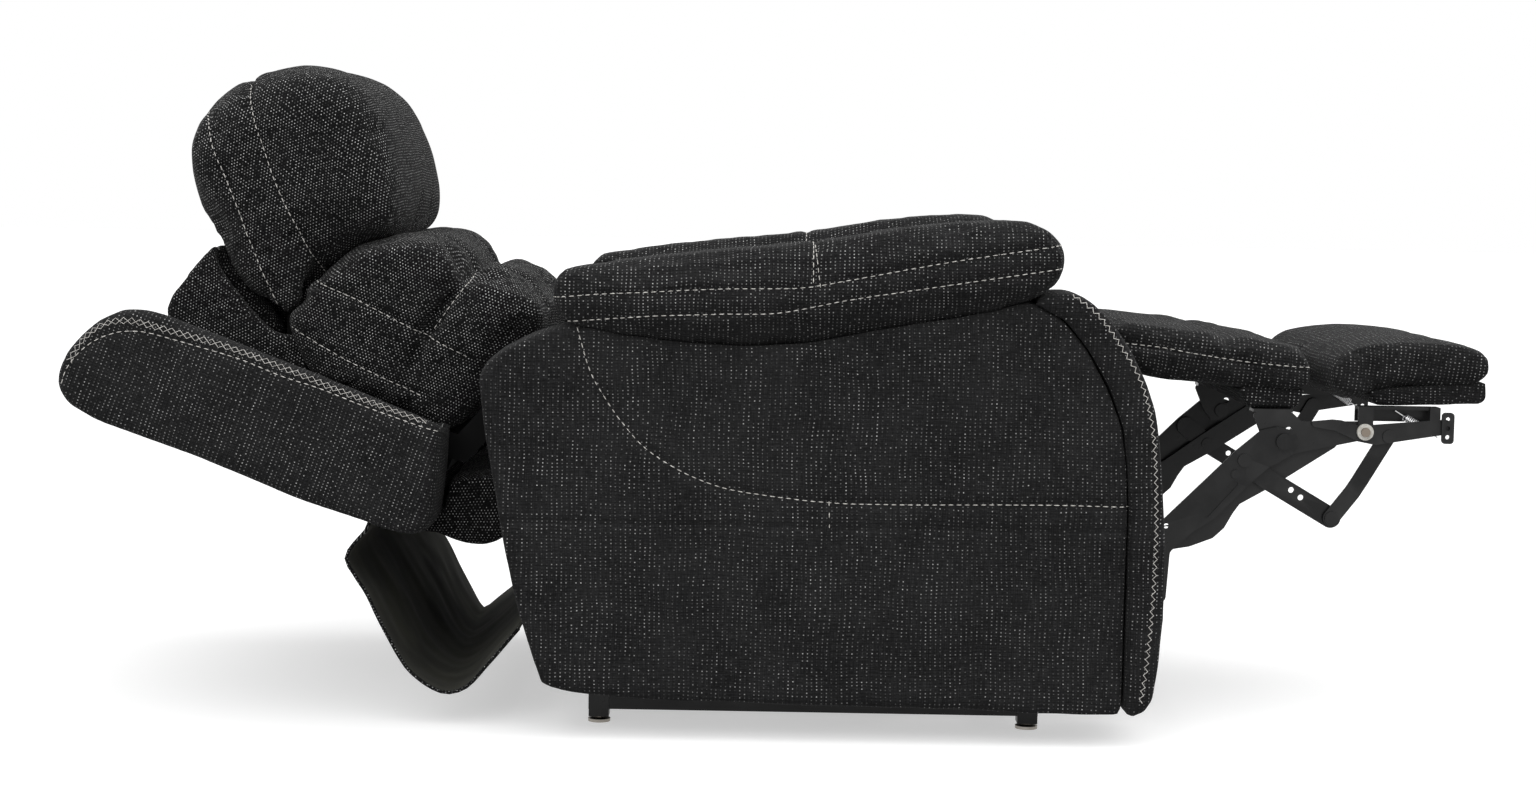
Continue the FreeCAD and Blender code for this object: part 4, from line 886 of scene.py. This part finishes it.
# Footrest: two pads, and the boards under them in the same cloth.
footrest = {
    "lean": 6.0, "boardLean": 4.0,
    "legSeams": [
        {"line": [(430, 519), (442, 518), (507, 512), (561, 503), (628, 494), (707, 488)],
         "depth": 4.0, "width": 5.0, "swell": 1.6, "pucker": 2.4, "pitch": 26.0},
        {"line": [(598, 600), (600, 520)], "depth": 5.0, "width": 9.0, "swell": 2.0, "pucker": 1.5},
    ],
    "extensionSeams": [
        {"line": [(748, 580), (775, 520), (790, 480), (795, 465)],
         "depth": 3.0, "width": 7.0, "pucker": 1.5, "face": "sides"},
    ],
    "nose": {"from": 0.88, "over": 0.07, "reach": 0.008},
}
for name, source, body, seams, seed in (
        ("footrest_pad_stuffed", "footrest_pad", "footrest", footrest["legSeams"], 31.0),
        ("extension_pad_stuffed", "extension_pad", "extension", footrest["extensionSeams"], 33.0)):
    soft = roundedCopy(name, source, voxel=0.0065, smoothing=4, shrink=0.001)
    if body == "extension":  # the stuffing fills the nose a little past its board
        nose = footrest["nose"]
        points = coordinates(soft.data)
        points[:, 0] += nose["reach"] * eased(np.clip((points[:, 0] - nose["from"]) / nose["over"], 0, 1))
        setCoordinates(soft.data, points)
    refine(soft, seams[:1], reach=0.014)
    sew(soft, seams, seed=seed)
    inflate(soft, cap=0.006, slack=0.03)
    crease(soft, amount=1.3, scale=18.0, seed=seed + 1)
    softTree = surfaceOf(soft)
    layCloth(soft, footrest["lean"])
    finishPiece(soft, source, body, finish=padCloth)
    if body == "footrest":
        for side in (-1, 1):
            stitch(body, "straight", [rowOnSide(softTree, seams[0]["line"], side)])
for name, source, body in (("footrest_board_cloth", "footrest_board", "footrest"),
                           ("extension_board_cloth", "extension_board", "extension")):
    covered = roundedCopy(name, source, voxel=0.005, smoothing=3)
    crease(covered, amount=0.7, scale=30.0, seed=35.0)
    layCloth(covered, footrest["boardLean"])
    finishPiece(covered, source, body, finish=padCloth)
print("footrest done")

# Rear flap: one hanging cloth between the foot of the back and the rear of the arms.
flap = {
    "near": [(-542, 260), (-569, 225), (-557, 197), (-542, 173), (-511, 112), (-495, 86), (-483, 71),
             (-461, 53), (-439, 45), (-418, 49), (-402, 60), (-381, 85), (-341, 132)],
    "far": [(-542, 260), (-567, 232), (-560, 212), (-544, 186), (-521, 152), (-501, 112), (-483, 77),
            (-468, 52), (-460, 45), (-449, 53), (-417, 79), (-385, 105), (-345, 136)],
    "half": 345.0, "thick": 0.003, "columns": 90, "hem": 0.0024, "hemWide": 1.5,
    "rise": (22.0, 9.0),  # how far its top runs on, to the shell in the middle and to the wings beside it
    "riseLean": 0.35, "wingFrom": 0.246, "wingOver": 0.020, "points": 37,
    "folds": ((0.0050, 9.0, 0.06, 3.0), (0.0022, 26.0, 0.2, 8.0)),  # depth, scale across and along, seed
}


# The line of the cloth at one place across the chair: a round sag on one side, a sharper fold on the other.
def flapLine(y):
    half = flap["half"] / 1000.0
    share = eased((y + half) / (2 * half))
    line = [tuple(p + (q - p) * share for p, q in zip(a, b)) for a, b in zip(flap["near"], flap["far"])]
    beside = min(1.0, max(0.0, (abs(y) - flap["wingFrom"]) / flap["wingOver"]))
    rise = flap["rise"][0] + (flap["rise"][1] - flap["rise"][0]) * beside
    line.insert(0, (line[0][0] + flap["riseLean"] * rise, line[0][1] + rise))
    dense = [np.array(p) for p in resampled(line, step=0.004)]
    walked = np.concatenate([[0], np.cumsum([np.linalg.norm(b - a) for a, b in zip(dense, dense[1:])])])
    even = np.linspace(0, walked[-1], flap["points"])
    return np.stack([np.interp(even, walked, [p[k] for p in dense]) for k in (0, 1)], 1), walked[-1]


points, faces = [], []
columns = flap["columns"]
for j in range(columns + 1):
    y = flap["half"] / 1000.0 * (2.0 * j / columns - 1.0)
    route, walked = flapLine(y)
    for i, p in enumerate(route):
        share = math.sin(math.pi * i / (len(route) - 1))
        before, after = route[max(0, i - 1)], route[min(len(route) - 1, i + 1)]
        run = (after - before) / np.linalg.norm(after - before)
        fold = sum(depth * noise.noise(Vector((y * wide, i * long, seed)))
                   for depth, wide, long, seed in flap["folds"])
        points.append((p[0] - run[1] * fold * share, y, p[1] + run[0] * fold * share))
rows = len(route)
for j in range(columns):
    for i in range(rows - 1):
        a = j * rows + i
        faces.append((a, a + 1, a + rows + 1, a + rows))
mesh = bpy.data.meshes.new("rear_flap_cloth")
mesh.from_pydata(points, [], faces)
flapCloth = newObject("rear_flap_cloth", mesh)
thicken = flapCloth.modifiers.new("thickness", "SOLIDIFY")
thicken.thickness = flap["thick"]
thicken.offset = 0.0
applied(flapCloth)
faceOutwards(flapCloth.data)
layCloth(flapCloth)
finishPiece(flapCloth, "rear_flap", body=None, finish=lining)
# The turned edges, in the upholstery cloth.
hemPoints, hemFaces = [], []
corners = 8
for j in (0, columns):
    edge = [np.array(points[j * rows + i]) for i in range(rows)]
    first = len(hemPoints)
    for i, p in enumerate(edge):
        run = edge[min(rows - 1, i + 1)] - edge[max(0, i - 1)]
        run /= np.linalg.norm(run)
        side = np.cross(run, (0, 1, 0))
        for k in range(corners):
            a = 2 * math.pi * k / corners
            out = side * math.cos(a) + np.array((0, flap["hemWide"], 0)) * math.sin(a)
            hemPoints.append(tuple(p + out * flap["hem"]))
            if i:
                here, beside = [first + (i - 1) * corners + m for m in (k, (k + 1) % corners)]
                hemFaces.append((here, beside, beside + corners, here + corners))
    hemFaces.append(tuple(range(first + corners - 1, first - 1, -1)))
    hemFaces.append(tuple(range(first + (rows - 1) * corners, first + rows * corners)))
hemMesh = bpy.data.meshes.new("rear_flap_hem")
hemMesh.from_pydata(hemPoints, [], hemFaces)
faceOutwards(hemMesh)
flapHem = newObject("rear_flap_hem", hemMesh)
layCloth(flapHem)
flapHem.data.materials.append(closeCloth)
for obj in (flapCloth, flapHem):
    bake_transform(obj, "chair_body", "back", (-0.34, 0, 0.14), (-0.54, 0, 0.262))

# All the stitches, one mesh for each body and kind.
looks = {
    "straight": [{"Pitch": 0.0104, "Length": 0.0076, "Thread": 0.00068}],
    "zigzag": [{"Pitch": 0.0052, "Width": 0.0050, "Thread": 0.00062, "Zigzag": True}],
    "cross_stitch": [{"Pitch": 0.0104, "Width": width, "Thread": 0.00040, "Zigzag": True}
                     for width in (0.0082, -0.0082)],
}
for (body, kind), rows in stitchRows.items():
    for number, look in enumerate(looks[kind]):
        obj = runStitcher("%s_%s_thread_%d" % (body, kind, number + 1), rows, **look)
        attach(obj, body)
print("stitches done:", len(stitchRows), "rows of work")

# Floor, backdrop and light.
studio = {
    "floor": 30.0, "sun": 2.3, "spread": 85.0, "fill": 40.0, "rim": 30.0, "world": 0.46, "glow": 0.50,
    "shade": (0.28, 0.28, 0.28), "seen": (0.62, 0.62, 0.62),
}


# 1 for what the camera and polished steel see, 0 for the light that falls on the chair.
def seenDirectly(tree):
    ray = addNode(tree, "ShaderNodeLightPath")
    seen = maths(tree, "MAXIMUM", ray.outputs["Is Camera Ray"], ray.outputs["Is Glossy Ray"])
    return maths(tree, "MAXIMUM", seen, ray.outputs["Is Transmission Ray"])


floorMesh = bpy.data.meshes.new("floor")
reach = studio["floor"]
floorMesh.from_pydata([(-reach, -reach, 0), (reach, -reach, 0), (reach, reach, 0), (-reach, reach, 0)],
                      [], [(0, 1, 2, 3)])
floor = newObject("floor", floorMesh)
floorMaterial, floorTree, floorShader = newMaterial("pale_floor", roughness=0.9)
seen = seenDirectly(floorTree)
paint(floorTree, floorShader, seen, studio["shade"], studio["seen"])
floorShader.inputs["Emission Color"].default_value = (1, 1, 1, 1)
glow = maths(floorTree, "MULTIPLY", seen, studio["glow"])
floorTree.links.new(glow, floorShader.inputs["Emission Strength"])
floor.data.materials.append(floorMaterial)

world = bpy.data.worlds.new("studio")
bpy.context.scene.world = world
world.use_nodes = True
worldTree = world.node_tree
background = worldTree.nodes["Background"]
background.inputs["Color"].default_value = (1, 1, 1, 1)
glow = ramp(worldTree, seenDirectly(worldTree), 0.0, 1.0, studio["world"], 1.0, smooth=False)
worldTree.links.new(glow, background.inputs["Strength"])


def aim(obj, way):
    bpy.context.scene.collection.objects.link(obj)
    obj.rotation_mode = "QUATERNION"
    obj.rotation_quaternion = Vector(way).to_track_quat("-Z", "Y")


def lamp(name, at, target, size, power):
    data = bpy.data.lights.new(name, "AREA")
    data.shape = "RECTANGLE"
    data.size, data.size_y = size
    data.energy = power
    obj = bpy.data.objects.new(name, data)
    obj.location = at
    aim(obj, Vector(target) - Vector(at))


sunData = bpy.data.lights.new("sun", "SUN")
sunData.energy = studio["sun"]
sunData.angle = math.radians(studio["spread"])
aim(bpy.data.objects.new("sun", sunData), way=(-0.12, 0.30, -1.0))
lamp("front", at=(-1.6, -3.6, 1.9), target=(0, 0, 0.4), size=(2.6, 2.0), power=studio["fill"])
lamp("right", at=(3.4, 0.6, 1.9), target=(0, 0, 0.5), size=(2.2, 2.0), power=studio["rim"])
